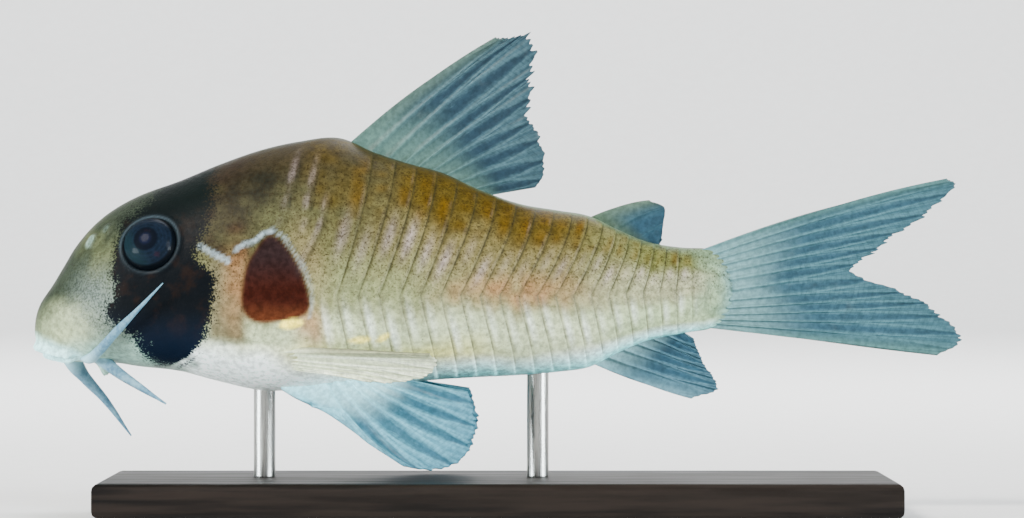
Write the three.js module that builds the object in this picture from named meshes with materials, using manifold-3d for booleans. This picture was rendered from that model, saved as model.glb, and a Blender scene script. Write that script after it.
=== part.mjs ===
// Corydoras catfish, a still life-size model on a small display stand.
// Millimetres, +Z up. The fish looks along -X and its left flank is at -Y.
// Fish sizes are taken from the snout (s, rearward) and from the belly line (z, upward).

import * as THREE from 'three';
import { mergeVertices } from 'three/addons/utils/BufferGeometryUtils.js';
import Module from 'manifold-3d';

const wasm = await Module();
wasm.setup();

// Driving sizes
const GAP = 0.3;
const TOTAL_LENGTH = 68.2;
const BASE = { length: 58, width: 24, thickness: 2.5, bevel: 0.5 };
const BELLY_HEIGHT = 8.9;
const ROD = { radius: 0.8, places: { front: 16.9, rear: 37 }, sides: 16 };

// Body sections: [s, top z, bottom z, half width]
const STATIONS = [
  [0, 4.4, 4.4, 0],
  [0.12, 5.5, 3.7, 0.9],
  [0.4, 6.3, 3.1, 1.6],
  [1.25, 7.6, 2.5, 2.55],
  [2.1, 9, 2.2, 3.2],
  [3, 10.5, 2.1, 3.75],
  [4.3, 12.05, 2.05, 4.4],
  [5.7, 13.2, 2.05, 4.95],
  [7.7, 14.3, 1.75, 5.5],
  [10.7, 15.4, 1.4, 6.05],
  [13.6, 16.6, 0.65, 6.4],
  [16.6, 17.65, 0, 6.65],
  [19.5, 18.3, 0, 6.75],
  [22.4, 18.55, 0.15, 6.7],
  [25.1, 17.45, 0.4, 6.5],
  [27.6, 16.65, 0.6, 6.2],
  [30.1, 15.95, 0.8, 5.85],
  [32.7, 14.75, 0.95, 5.4],
  [35.7, 13.7, 1.1, 4.85],
  [38.6, 13.2, 1.35, 4.25],
  [40.8, 12.8, 1.7, 3.75],
  [43, 11.75, 2.8, 3.2],
  [45.1, 10.9, 3.65, 2.65],
  [47.5, 10.5, 4.15, 2.05],
  [48.9, 10.45, 4.35, 1.7],
  [51.7, 10.45, 4.5, 1.15],
];
const TAIL_END = { start: 48.9, length: 2.8 };
// Height of the widest line, which the side line follows: [s, z]
const MIDDLE = [[0, 4.4], [3, 5.2], [8, 6], [14, 6.5], [22, 6.9], [30, 7], [40, 7], [49, 7.4], [52, 7.4]];
// Roundness of the section above and below its widest line
const ROUNDNESS = { upper: 2.05, lower: 2.5 };

// Scutes
const SCUTES = {
  count: 22, first: 20.9, last: 50.6, shrink: 0.72,
  height: 0.22, rise: 0.8, flatFrom: 46, flat: 50,
};
// The seams curve back away from the side line, more strongly with a higher power
const LEAN = { above: 2.6, below: 1.2, start: 12, full: 24, fadeFrom: 44, gone: 49, power: 1.6 };
// Shares of the half width between which the scutes fade out at the back and at the belly
const FLANK = { edge: 0.12, full: 0.4 };
const TORSO_SCUTES = 12;
const AROUND = 40;

// Head
const EYE = { s: 8.75, z: 10.75, radius: 2.05, depth: 1.4, sink: 0.35 };
// Rings of the head, closer together toward the snout with a higher power
const HEAD_RINGS = { count: 34, power: 1.6 };
// Gill cover, an oval that falls off between two shares of its size
const GILL_COVER = { s: 17.7, z: 8.2, length: 3.9, height: 5.6, lift: 0.28, full: 0.82, edge: 1.05 };
// Groove round the gill cover, fading in behind the eye
const GILL_GROOVE = { away: 1.12, half: 0.14, depth: 0.12, from: 8, full: 11 };
const EYE_RIM = { radius: 2.5, tube: 0.34 };
const NOSTRILS = [
  { s: 4.35, z: 10.9, rim: 0.62, pit: 0.34 },
  { s: 5.5, z: 11.8, rim: 0.45, pit: 0.24 },
];
const LIPS = {
  upper: {
    path: [[2.7, 2, 2.4], [1.35, 1.85, 2.9], [0.55, 1, 3.35], [0.45, 0, 3.5]],
    radii: [0.3, 0.45, 0.5, 0.5],
  },
  lower: {
    path: [[2.8, 1.9, 2.25], [1.9, 1.4, 2.3], [1.4, 0.7, 2.4], [1.3, 0, 2.45]],
    radii: [0.3, 0.4, 0.45, 0.45],
  },
  slit: {
    path: [[2.9, 2.2, 2.35], [1.5, 1.8, 2.6], [0.75, 0.9, 2.85], [0.55, 0, 2.95]],
    radii: [0.15, 0.15, 0.15, 0.15],
  },
};
// Fleshy flaps under the chin, between the barbels
const CHIN_FLAP = { path: [[4.6, 0.9, 2.5], [5.1, 1, 1.5], [5.7, 1.1, 0.9]], radii: [0.5, 0.42, 0.12] };

function lerp(a, b, t) {
  return a + (b - a) * t;
}

function smooth(a, b, x) {
  const t = Math.min(Math.max((x - a) / (b - a), 0), 1);
  return t * t * (3 - 2 * t);
}

// A smooth curve through the rows of a table, even in the root of s so that the snout stays round
function read(table, column, s) {
  const key = Math.sqrt(Math.max(s, 0));
  const last = table.length - 1;
  let i = 0;
  while (i < last - 1 && table[i + 1][0] < s) {
    i += 1;
  }
  const knot = (n) => Math.sqrt(table[n][0]);
  const slope = (n) => {
    const before = Math.max(n - 1, 0);
    const after = Math.min(n + 1, last);
    return (table[after][column] - table[before][column]) / (knot(after) - knot(before));
  };
  const width = knot(i + 1) - knot(i);
  const t = Math.min(Math.max((key - knot(i)) / width, 0), 1);
  const startWeight = 2 * t ** 3 - 3 * t ** 2 + 1;
  const endWeight = 3 * t ** 2 - 2 * t ** 3;
  const startSlope = (t ** 3 - 2 * t ** 2 + t) * width;
  const endSlope = (t ** 3 - t ** 2) * width;
  return table[i][column] * startWeight + table[i + 1][column] * endWeight
    + slope(i) * startSlope + slope(i + 1) * endSlope;
}

// Size of the body's section at s, closed by an ellipse at the root of the tail fin
function section(s) {
  const middle = read(MIDDLE, 1, s);
  const past = Math.min(Math.max((s - TAIL_END.start) / TAIL_END.length, 0), 1);
  const close = Math.sqrt(1 - past * past);
  return {
    middle,
    up: (read(STATIONS, 1, s) - middle) * close,
    down: (middle - read(STATIONS, 2, s)) * close,
    half: read(STATIONS, 3, s) * Math.sqrt(close),
  };
}

// A point of the body's smooth surface
function skin(s, angle) {
  const across = Math.cos(angle);
  const high = Math.sin(angle);
  const size = section(s);
  const power = 2 / (high > 0 ? ROUNDNESS.upper : ROUNDNESS.lower);
  const y = size.half * Math.sign(across) * Math.abs(across) ** power;
  const reach = high > 0 ? size.up : size.down;
  const z = size.middle + reach * Math.sign(high) * Math.abs(high) ** power;
  return new THREE.Vector3(s, y, z);
}

function outward(s, angle) {
  const step = 0.02;
  const along = skin(s + step, angle).sub(skin(Math.max(s - step, 0), angle));
  const around = skin(s, angle + step).sub(skin(s, angle - step));
  return along.cross(around).normalize().multiplyScalar(-1);
}

// How far a seam between scutes lies behind its foremost point on the side line
function lean(a, angle) {
  const high = Math.abs(Math.sin(angle));
  const reach = Math.sin(angle) > 0 ? LEAN.above : LEAN.below;
  const strength = smooth(LEAN.start, LEAN.full, a) * (1 - smooth(LEAN.fadeFrom, LEAN.gone, a));
  return reach * strength * (1 - (1 - high) ** LEAN.power);
}

// The soft gill cover of the head and the groove round it
function headRelief(s, angle) {
  const z = skin(s, angle).z;
  const away = Math.hypot((s - GILL_COVER.s) / GILL_COVER.length, (z - GILL_COVER.z) / GILL_COVER.height);
  const cover = GILL_COVER.lift * (1 - smooth(GILL_COVER.full, GILL_COVER.edge, away));
  const groove = GILL_GROOVE.depth * (1 - smooth(0, GILL_GROOVE.half, Math.abs(away - GILL_GROOVE.away)));
  return cover - groove * smooth(GILL_GROOVE.from, GILL_GROOVE.full, s);
}

// One closed loft of the body from rings. Each ring is { a, lift }, where a is its place on the side line.
function bodyLoft(rings, grow = 0) {
  const positions = [];
  const index = [];
  for (const ring of rings) {
    for (let i = 0; i < AROUND; i += 1) {
      const angle = (i / AROUND) * Math.PI * 2;
      const s = ring.a + lean(ring.a, angle);
      const flank = smooth(FLANK.edge, FLANK.full, Math.abs(Math.cos(angle)));
      let lift = ring.lift * flank + grow;
      if (ring.a < SCUTES.first) {
        lift += headRelief(s, angle);
      } else if (i % (AROUND / 2) === 0) {
        lift -= SCUTES.height * 0.5;
      }
      const point = skin(s, angle).addScaledVector(outward(s, angle), lift);
      positions.push(point.x, point.y, point.z);
    }
  }
  for (let r = 0; r < rings.length - 1; r += 1) {
    for (let i = 0; i < AROUND; i += 1) {
      const next = (i + 1) % AROUND;
      const a = r * AROUND + i;
      const b = r * AROUND + next;
      const c = (r + 1) * AROUND + i;
      const d = (r + 1) * AROUND + next;
      index.push(a, d, c, a, b, d);
    }
  }
  const end = positions.length / 3;
  const firstRing = rings[0];
  const lastRing = rings[rings.length - 1];
  positions.push(firstRing.cap ?? firstRing.a, 0, section(firstRing.a).middle);
  positions.push(lastRing.cap ?? lastRing.a, 0, section(lastRing.a).middle);
  const start = (rings.length - 1) * AROUND;
  for (let i = 0; i < AROUND; i += 1) {
    const next = (i + 1) % AROUND;
    index.push(end, next, i);
    index.push(end + 1, start + i, start + next);
  }
  const geometry = new THREE.BufferGeometry();
  geometry.setAttribute('position', new THREE.Float32BufferAttribute(positions, 3));
  geometry.setIndex(index);
  return geometry;
}

// Places on the side line where each scute starts, from wide ones in front to narrow ones behind
function scuteStart(number) {
  const t = number / SCUTES.count;
  const spread = (t - (1 - SCUTES.shrink) * t * t / 2) / (1 - (1 - SCUTES.shrink) / 2);
  return lerp(SCUTES.first, SCUTES.last, spread);
}

function headRings() {
  const rings = [];
  for (let i = 1; i <= HEAD_RINGS.count; i += 1) {
    const a = (SCUTES.first - GAP) * (i / HEAD_RINGS.count) ** HEAD_RINGS.power;
    rings.push({ a, lift: 0 });
  }
  rings[0].cap = 0;
  return rings;
}

function scuteRings(from, to) {
  const rings = [];
  for (let i = from; i < to; i += 1) {
    const start = scuteStart(i);
    const end = scuteStart(i + 1);
    const height = SCUTES.height * (1 - smooth(SCUTES.flatFrom, SCUTES.flat, start));
    rings.push({ a: start, lift: 0 });
    rings.push({ a: lerp(start, end, SCUTES.rise), lift: height });
  }
  return rings;
}

function tailEndRings() {
  const rings = [];
  const end = TAIL_END.start + TAIL_END.length;
  for (const t of [0, 0.5, 0.8, 0.95]) {
    rings.push({ a: lerp(SCUTES.last, end, t), lift: 0 });
  }
  rings[rings.length - 1].cap = end;
  return rings;
}

// Solids and joins

function toSolid(geometry) {
  const bare = geometry.clone();
  bare.deleteAttribute('normal');
  bare.deleteAttribute('uv');
  const merged = mergeVertices(bare, 1e-5);
  return new wasm.Manifold(new wasm.Mesh({
    numProp: 3,
    vertProperties: new Float32Array(merged.attributes.position.array),
    triVerts: new Uint32Array(merged.index.array),
  }));
}

function toGeometry(solid) {
  const pieces = solid.decompose();
  pieces.sort((one, other) => other.volume() - one.volume());
  const mesh = pieces[0].getMesh();
  const geometry = new THREE.BufferGeometry();
  geometry.setAttribute('position', new THREE.Float32BufferAttribute(mesh.vertProperties, 3));
  geometry.setIndex(Array.from(mesh.triVerts));
  return geometry;
}

// A round tube that tapers along a curve
function taperedTube(curve, radii, steps, sides) {
  const positions = [];
  const index = [];
  const frames = curve.computeFrenetFrames(steps, false);
  for (let r = 0; r <= steps; r += 1) {
    const centre = curve.getPointAt(r / steps);
    const place = (r / steps) * (radii.length - 1);
    const before = Math.min(Math.floor(place), radii.length - 2);
    const radius = lerp(radii[before], radii[before + 1], place - before);
    for (let i = 0; i < sides; i += 1) {
      const angle = (i / sides) * Math.PI * 2;
      const point = centre.clone()
        .addScaledVector(frames.normals[r], radius * Math.cos(angle))
        .addScaledVector(frames.binormals[r], radius * Math.sin(angle));
      positions.push(point.x, point.y, point.z);
    }
  }
  for (let r = 0; r < steps; r += 1) {
    for (let i = 0; i < sides; i += 1) {
      const next = (i + 1) % sides;
      const a = r * sides + i;
      const b = r * sides + next;
      const c = (r + 1) * sides + i;
      const d = (r + 1) * sides + next;
      index.push(a, b, d, a, d, c);
    }
  }
  const end = positions.length / 3;
  const first = curve.getPointAt(0);
  const last = curve.getPointAt(1);
  positions.push(first.x, first.y, first.z, last.x, last.y, last.z);
  for (let i = 0; i < sides; i += 1) {
    const next = (i + 1) % sides;
    index.push(end, next, i);
    index.push(end + 1, steps * sides + i, steps * sides + next);
  }
  const geometry = new THREE.BufferGeometry();
  geometry.setAttribute('position', new THREE.Float32BufferAttribute(positions, 3));
  geometry.setIndex(index);
  return geometry;
}

function through(points) {
  return new THREE.CatmullRomCurve3(points.map((point) => new THREE.Vector3(...point)));
}

// A fin of rays. Each ray is { root, tip }, and side is the way across the fin.
// Columns on the rays stand out as ridges and the columns between them are the web.
// The rays bow in the plane of the fin by a share of their length, from the first ray to the last.
function rayFin(rays, { side, web, ridge, taper, notch, rows, sway, bow }) {
  const columns = rays.length * 2 - 1;
  const positions = [];
  const place = (column, row) => {
    const t = row / rows;
    const before = Math.floor(column / 2);
    const after = Math.ceil(column / 2);
    const onRay = before === after;
    const reach = onRay ? t : t * (1 - notch * smooth(0.5, 1, t));
    const root = rays[before].root.clone().lerp(rays[after].root, 0.5);
    const tip = rays[before].tip.clone().lerp(rays[after].tip, 0.5);
    const ray = tip.clone().sub(root);
    const bulge = lerp(bow[0], bow[1], column / (columns - 1)) * 4 * reach * (1 - reach);
    const centre = root.addScaledVector(ray, reach).addScaledVector(ray.cross(side), bulge);
    const bend = sway * Math.sin(reach * Math.PI * 0.5) * Math.sin((column / (columns - 1)) * Math.PI);
    const full = onRay ? ridge : web;
    return { centre: centre.addScaledVector(side, bend), half: lerp(full, full * taper, t) / 2 };
  };
  for (const face of [1, -1]) {
    for (let row = 0; row <= rows; row += 1) {
      for (let column = 0; column < columns; column += 1) {
        const { centre, half } = place(column, row);
        const point = centre.addScaledVector(side, face * half);
        positions.push(point.x, point.y, point.z);
      }
    }
  }
  const layer = (rows + 1) * columns;
  const index = [];
  const quad = (a, b, c, d) => index.push(a, b, c, a, c, d);
  const at = (column, row, face) => face * layer + row * columns + column;
  const rear = columns - 1;
  for (let row = 0; row < rows; row += 1) {
    for (let column = 0; column < columns - 1; column += 1) {
      const corners = [[column, row], [column + 1, row], [column + 1, row + 1], [column, row + 1]];
      const front = corners.map(([c, r]) => at(c, r, 0));
      const back = corners.map(([c, r]) => at(c, r, 1));
      index.push(front[0], front[1], front[2], front[0], front[2], front[3]);
      index.push(back[0], back[2], back[1], back[0], back[3], back[2]);
    }
    quad(at(0, row, 1), at(0, row, 0), at(0, row + 1, 0), at(0, row + 1, 1));
    quad(at(rear, row, 0), at(rear, row, 1), at(rear, row + 1, 1), at(rear, row + 1, 0));
  }
  for (let column = 0; column < columns - 1; column += 1) {
    quad(at(column + 1, 0, 0), at(column, 0, 0), at(column, 0, 1), at(column + 1, 0, 1));
    quad(at(column, rows, 0), at(column + 1, rows, 0), at(column + 1, rows, 1), at(column, rows, 1));
  }
  const geometry = new THREE.BufferGeometry();
  geometry.setAttribute('position', new THREE.Float32BufferAttribute(positions, 3));
  geometry.setIndex(index);
  return facingOut(geometry);
}

// Turns a closed mesh's faces outward where its rays ran the other way round
function facingOut(geometry) {
  const { array } = geometry.attributes.position;
  const { array: corners } = geometry.index;
  let volume = 0;
  for (let i = 0; i < corners.length; i += 3) {
    const [a, b, c] = [0, 1, 2].map((n) => new THREE.Vector3().fromArray(array, corners[i + n] * 3));
    volume += a.dot(b.cross(c));
  }
  if (volume < 0) {
    for (let i = 0; i < corners.length; i += 3) {
      [corners[i + 1], corners[i + 2]] = [corners[i + 2], corners[i + 1]];
    }
  }
  return geometry;
}

function mirrored(geometry) {
  const copy = geometry.clone();
  const { array } = copy.attributes.position;
  for (let i = 1; i < array.length; i += 3) {
    array[i] = -array[i];
  }
  return facingOut(copy);
}

const ACROSS = new THREE.Vector3(0, 1, 0);

// A fin in the fish's middle plane, from flat [s, z] roots and tips
function middleFin(roots, tips, options) {
  const rays = roots.map(([s, z], i) => ({
    root: new THREE.Vector3(s, 0, z),
    tip: new THREE.Vector3(tips[i][0], 0, tips[i][1]),
  }));
  return rayFin(rays, { side: ACROSS, ...options });
}

function topOf(s) {
  const size = section(s);
  return size.middle + size.up;
}

function bottomOf(s) {
  const size = section(s);
  return size.middle - size.down;
}

// Dorsal fin: a spine and soft rays, set along the back
// Its roots and those of the adipose and anal fins are places along the body
const DORSAL_ROOTS = [22.9, 24.5, 25.7, 26.8, 27.8, 28.8, 29.8, 30.8, 31.8, 32.8];
const DORSAL_TIPS = [
  [33.9, 25.9], [35.3, 26.15], [37, 26.5], [37.4, 24.4], [37.2, 22.9],
  [36.7, 20.6], [37.1, 19.2], [37.5, 17.7], [37.55, 16.1], [36.9, 14.95],
];

// Adipose fin: a short spine with a web behind it
const ADIPOSE_ROOTS = [40.3, 42.2, 43.9, 45.8];
const ADIPOSE_TIPS = [[45.2, 13.9], [46.35, 13.45], [46.25, 12.2], [46.1, 11.1]];

// Anal fin
const ANAL_ROOTS = [40.6, 41.7, 42.8, 43.8, 44.9, 45.9, 47.2];
const ANAL_TIPS = [
  [48.3, -0.6], [50.35, -0.1], [50.2, 0.75], [49.6, 1.5],
  [49.2, 2.2], [48.8, 3], [48.5, 3.75],
];

// Tail fin: tips of the rays of each lobe, from its long outer ray in to the fork
const UPPER_TIPS = [
  [67.1, 15.5], [67.95, 15.1], [66.8, 13.7], [65.2, 12.3],
  [63.4, 11.1], [61.9, 9.9], [60.7, 8.86],
];
const LOWER_TIPS = [
  [66.4, 2.6], [68.2, 3.5], [67.7, 4.8], [66.4, 5.95],
  [64.9, 6.8], [63, 7.6], [60.9, 8.54],
];
const TAIL_RAYS = { outerRoot: 48.1, second: 1.3, inner: 0.05 };

function tailRoots(side) {
  const edge = section(TAIL_RAYS.outerRoot);
  const outer = edge.middle + side * ((side > 0 ? edge.up : edge.down) + GAP);
  const roots = [[TAIL_RAYS.outerRoot, outer]];
  const size = section(TAIL_END.start);
  const reach = (side > 0 ? size.up : size.down) + GAP;
  for (let i = 1; i < UPPER_TIPS.length; i += 1) {
    const angle = lerp(TAIL_RAYS.second, TAIL_RAYS.inner, (i - 1) / (UPPER_TIPS.length - 2));
    const s = TAIL_END.start + (TAIL_END.length + GAP) * Math.cos(angle);
    roots.push([s, size.middle + side * reach * Math.sin(angle)]);
  }
  return roots;
}

// Paired fins on the right side (+Y), as [s, y, z]
const PELVIC_ROOTS = [
  [18.2, 2.4, 0.2], [21.4, 2.8, 0.8], [22.1, 3, 0.9], [22.8, 3.1, 0.95],
  [23.5, 3.2, 1], [24.3, 3.3, 1.1], [25.2, 3.4, 1.2],
];
const PELVIC_TIPS = [
  [22.8, 4.2, -1.3], [26.9, 6.6, -5.1], [29.9, 7, -5.75], [32, 7, -4.8],
  [32.6, 6.8, -3.3], [32.65, 6.5, -1.8], [32.1, 6, 0],
];
const PECTORAL_ROOTS = [
  [17.2, 5.2, 3.1], [17.4, 5.1, 2.85], [17.6, 5, 2.6], [17.8, 4.9, 2.4],
  [18, 4.8, 2.2], [18.2, 4.7, 2.05], [18.4, 4.6, 1.9],
];
const PECTORAL_TIPS = [
  [29.2, 10.3, 2.85], [29.8, 9.7, 2.1], [29.2, 9, 1.2], [28, 8.4, 0.8],
  [26.6, 7.8, 0.6], [25.2, 7.3, 0.7], [24, 6.9, 0.9],
];

function pairedFin(roots, tips, options) {
  const rays = roots.map((root, i) => ({
    root: new THREE.Vector3(...root),
    tip: new THREE.Vector3(...tips[i]),
  }));
  const middle = Math.floor(rays.length / 2);
  const along = rays[middle].tip.clone().sub(rays[middle].root);
  const spread = rays[rays.length - 1].tip.clone().sub(rays[0].tip);
  const side = along.cross(spread).normalize();
  return rayFin(rays, { side, ...options });
}

// Barbels as [s, y, z] with their radii, each as on the right side. The near pair belongs on the left.
const BARBELS = {
  nearMaxillary: {
    path: [[4.1, 2.2, 2.3], [5, 4.4, 2.9], [6.55, 5.8, 4.5], [8.1, 6.5, 6.05], [9.9, 7.1, 7.9]],
    radii: [0.5, 0.45, 0.36, 0.22, 0.1],
  },
  nearMental: {
    path: [[4.6, 1.6, 2.7], [5.4, 2.2, 2.05], [6.4, 3, 1.35], [7.9, 3.9, 0.4], [9.95, 4.6, -0.9]],
    radii: [0.5, 0.45, 0.36, 0.28, 0.1],
  },
  farMaxillary: {
    path: [[2.5, 1.7, 2.5], [2.8, 2.2, 1.8], [3.4, 2.9, 0.9], [4.9, 3.5, -0.85], [6.8, 3.8, -3.5]],
    radii: [0.65, 0.6, 0.42, 0.28, 0.1],
  },
  farMental: {
    path: [[4.35, 1.6, 2.65], [5.05, 2.2, 1.95], [5.95, 3, 1.15], [7.35, 3.9, 0.15], [9.35, 4.6, -1.15]],
    radii: [0.5, 0.45, 0.36, 0.28, 0.1],
  },
};

function barbel({ path, radii }) {
  return facingOut(taperedTube(through(path), radii, 12, 8));
}

// Everything that grows from the body is cut back to the body grown by the gap
const wholeRings = [...headRings(), ...scuteRings(0, SCUTES.count), ...tailEndRings()];
const grownBody = toSolid(bodyLoft(wholeRings, GAP));

function cutToBody(geometry) {
  return toGeometry(toSolid(geometry).subtract(grownBody));
}

// The barbels keep the gap to the lips too
const grownLips = [LIPS.upper, LIPS.lower].map(({ path, radii }) => {
  const grownRadii = radii.map((radius) => radius + GAP);
  return toSolid(roundTheMouth({ path, radii: grownRadii }));
});

function cutToHead(geometry) {
  let solid = toSolid(geometry).subtract(grownBody);
  for (const lip of grownLips) {
    solid = solid.subtract(lip);
  }
  return toGeometry(solid);
}

// The place on the right flank of the head at s and z, with the way out of the skin
function flankPlace(s, z) {
  let angle = 0.1;
  while (skin(s, angle).z < z) {
    angle += 0.005;
  }
  return { point: skin(s, angle), normal: outward(s, angle) };
}

// Sets a shape made around +Z on the skin at s and z, sunk by a distance
function setOnHead(geometry, s, z, sink) {
  const { point, normal } = flankPlace(s, z);
  const turn = new THREE.Quaternion().setFromUnitVectors(new THREE.Vector3(0, 0, 1), normal);
  geometry.applyQuaternion(turn);
  const centre = point.clone().addScaledVector(normal, -sink);
  geometry.translate(centre.x, centre.y, centre.z);
  return geometry;
}

function eyeBall(grow) {
  const geometry = new THREE.SphereGeometry(1, 20, 14);
  geometry.rotateX(Math.PI / 2);
  geometry.scale(EYE.radius + grow, EYE.radius + grow, EYE.depth + grow);
  return setOnHead(geometry, EYE.s, EYE.z, EYE.sink);
}

function eyeRim() {
  return setOnHead(new THREE.TorusGeometry(EYE_RIM.radius, EYE_RIM.tube, 5, 24), EYE.s, EYE.z, 0.05);
}

function nostrilRim({ s, z, rim, pit }) {
  return setOnHead(new THREE.TorusGeometry((rim + pit) / 2, (rim - pit) / 2 + 0.08, 5, 10), s, z, 0);
}

function nostrilPit({ s, z, pit }) {
  const geometry = new THREE.CylinderGeometry(pit, pit * 0.7, 1, 10);
  geometry.rotateX(Math.PI / 2);
  return setOnHead(geometry, s, z, 0);
}

// A lip or slit that runs round the snout from one corner of the mouth to the other
function roundTheMouth({ path, radii }) {
  const other = path.slice(0, -1).reverse().map(([s, y, z]) => [s, -y, z]);
  const bothRadii = [...radii, ...radii.slice(0, -1).reverse()];
  return facingOut(taperedTube(through([...path, ...other]), bothRadii, 18, 7));
}

// Colours
const COLOURS = {
  flesh: { color: 0x8f8f5c, roughness: 0.45, metalness: 0 },
  headFlesh: { color: 0x76774f, roughness: 0.45, metalness: 0 },
  fin: { color: 0x5f8797, roughness: 0.4, metalness: 0 },
  barbel: { color: 0xcfc3a8, roughness: 0.5, metalness: 0 },
  eye: { color: 0x1a2630, roughness: 0.08, metalness: 0 },
  stand: { color: 0x26221f, roughness: 0.35, metalness: 0 },
  rod: { color: 0xb5b5b0, roughness: 0.25, metalness: 1 },
};

const fish = new THREE.Group();
fish.position.set(-TOTAL_LENGTH / 2, 0, BELLY_HEIGHT);
const part = new THREE.Group();
part.add(fish);

function add(group, name, geometry, look) {
  const mesh = new THREE.Mesh(geometry, new THREE.MeshStandardMaterial(COLOURS[look]));
  mesh.name = name;
  group.add(mesh);
}

// Body
function headSolid() {
  let head = toSolid(bodyLoft(headRings()));
  const raised = [eyeRim(), ...NOSTRILS.map(nostrilRim)];
  const chinFlap = facingOut(taperedTube(through(CHIN_FLAP.path), CHIN_FLAP.radii, 5, 7));
  const sunk = [eyeBall(GAP), ...NOSTRILS.map(nostrilPit)];
  for (const shape of [...raised, chinFlap]) {
    head = head.add(toSolid(shape)).add(toSolid(mirrored(shape)));
  }
  head = head.add(toSolid(roundTheMouth(LIPS.upper)));
  head = head.add(toSolid(roundTheMouth(LIPS.lower)));
  head = head.subtract(toSolid(roundTheMouth(LIPS.slit)));
  for (const shape of sunk) {
    head = head.subtract(toSolid(shape)).subtract(toSolid(mirrored(shape)));
  }
  return head;
}

add(fish, 'head', toGeometry(headSolid()), 'headFlesh');

const torsoRings = scuteRings(0, TORSO_SCUTES);
torsoRings.push({ a: scuteStart(TORSO_SCUTES) - GAP, lift: 0 });
add(fish, 'torso', bodyLoft(torsoRings), 'flesh');
const stalkRings = [...scuteRings(TORSO_SCUTES, SCUTES.count), ...tailEndRings()];
add(fish, 'tail_stalk', bodyLoft(stalkRings), 'flesh');

add(fish, 'eye_right', eyeBall(0), 'eye');
add(fish, 'eye_left', mirrored(eyeBall(0)), 'eye');

// Fins in the middle plane
const MEMBRANE = { web: 0.5, ridge: 0.85, taper: 0.6, notch: 0.06, rows: 6, sway: 0.5, bow: [0, 0] };
const dorsalRoots = DORSAL_ROOTS.map((s) => [s, topOf(s) + GAP]);
add(fish, 'dorsal_fin', middleFin(dorsalRoots, DORSAL_TIPS, { ...MEMBRANE, bow: [0.03, 0] }), 'fin');
const adiposeRoots = ADIPOSE_ROOTS.map((s) => [s, topOf(s) + GAP]);
const adipose = { ...MEMBRANE, rows: 4, sway: 0, bow: [0.05, 0] };
add(fish, 'adipose_fin', middleFin(adiposeRoots, ADIPOSE_TIPS, adipose), 'fin');
const analRoots = ANAL_ROOTS.map((s) => [s, bottomOf(s) - GAP]);
add(fish, 'anal_fin', middleFin(analRoots, ANAL_TIPS, { ...MEMBRANE, sway: 0.3, bow: [-0.02, 0] }), 'fin');
const tailMembrane = { ...MEMBRANE, ridge: 1, rows: 8, sway: 0.6 };
add(fish, 'caudal_fin_upper', middleFin(tailRoots(1), UPPER_TIPS, { ...tailMembrane, bow: [0.022, 0] }), 'fin');
add(fish, 'caudal_fin_lower', middleFin(tailRoots(-1), LOWER_TIPS, tailMembrane), 'fin');

// Paired fins
const pelvic = pairedFin(PELVIC_ROOTS, PELVIC_TIPS, { ...MEMBRANE, sway: 0.3, bow: [-0.08, 0] });
add(fish, 'pelvic_fin_right', cutToBody(pelvic), 'fin');
add(fish, 'pelvic_fin_left', cutToBody(mirrored(pelvic)), 'fin');
const pectoral = pairedFin(PECTORAL_ROOTS, PECTORAL_TIPS, { ...MEMBRANE, sway: 0.3 });
add(fish, 'pectoral_fin_right', cutToBody(pectoral), 'fin');
add(fish, 'pectoral_fin_left', cutToBody(mirrored(pectoral)), 'fin');

// Barbels
add(fish, 'maxillary_barbel_left', cutToHead(mirrored(barbel(BARBELS.nearMaxillary))), 'barbel');
add(fish, 'mental_barbel_left', cutToHead(mirrored(barbel(BARBELS.nearMental))), 'barbel');
add(fish, 'maxillary_barbel_right', cutToHead(barbel(BARBELS.farMaxillary)), 'barbel');
add(fish, 'mental_barbel_right', cutToHead(barbel(BARBELS.farMental)), 'barbel');

// Stand
const outline = new THREE.Shape();
const halfLength = BASE.length / 2 - BASE.bevel;
const halfWidth = BASE.width / 2 - BASE.bevel;
outline.moveTo(-halfLength, -halfWidth);
outline.lineTo(halfLength, -halfWidth);
outline.lineTo(halfLength, halfWidth);
outline.lineTo(-halfLength, halfWidth);
const base = new THREE.ExtrudeGeometry(outline, {
  depth: BASE.thickness - 2 * BASE.bevel,
  bevelThickness: BASE.bevel,
  bevelSize: BASE.bevel,
  bevelSegments: 3,
});
base.translate(0, 0, BASE.bevel);
add(part, 'stand_base', toGeometry(toSolid(base)), 'stand');

for (const [name, s] of Object.entries(ROD.places)) {
  const foot = BASE.thickness + GAP - BELLY_HEIGHT;
  const head = bottomOf(s) + 1;
  const rod = new THREE.CylinderGeometry(ROD.radius, ROD.radius, head - foot, ROD.sides);
  rod.rotateX(Math.PI / 2);
  rod.translate(s, 0, (head + foot) / 2);
  add(fish, `stand_rod_${name}`, cutToBody(rod), 'rod');
}

export default part;
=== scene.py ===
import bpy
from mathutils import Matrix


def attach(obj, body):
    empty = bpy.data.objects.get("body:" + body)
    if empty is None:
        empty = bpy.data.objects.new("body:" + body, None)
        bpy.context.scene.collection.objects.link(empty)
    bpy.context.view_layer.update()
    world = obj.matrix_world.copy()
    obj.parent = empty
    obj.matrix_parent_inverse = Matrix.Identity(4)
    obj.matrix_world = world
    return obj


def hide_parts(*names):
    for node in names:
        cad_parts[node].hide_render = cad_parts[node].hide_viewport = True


bl_info = {
    "name": "Corydoras catfish on a stand",
    "version": (1, 0, 0),
    "blender": (4, 5, 0),
    "location": "3D View > Sidebar > Catfish",
    "description": "Dresses a life-size corydoras catfish: scuted skin, rayed fins, barbels, eyes and stand",
    "category": "Object",
}

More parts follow.
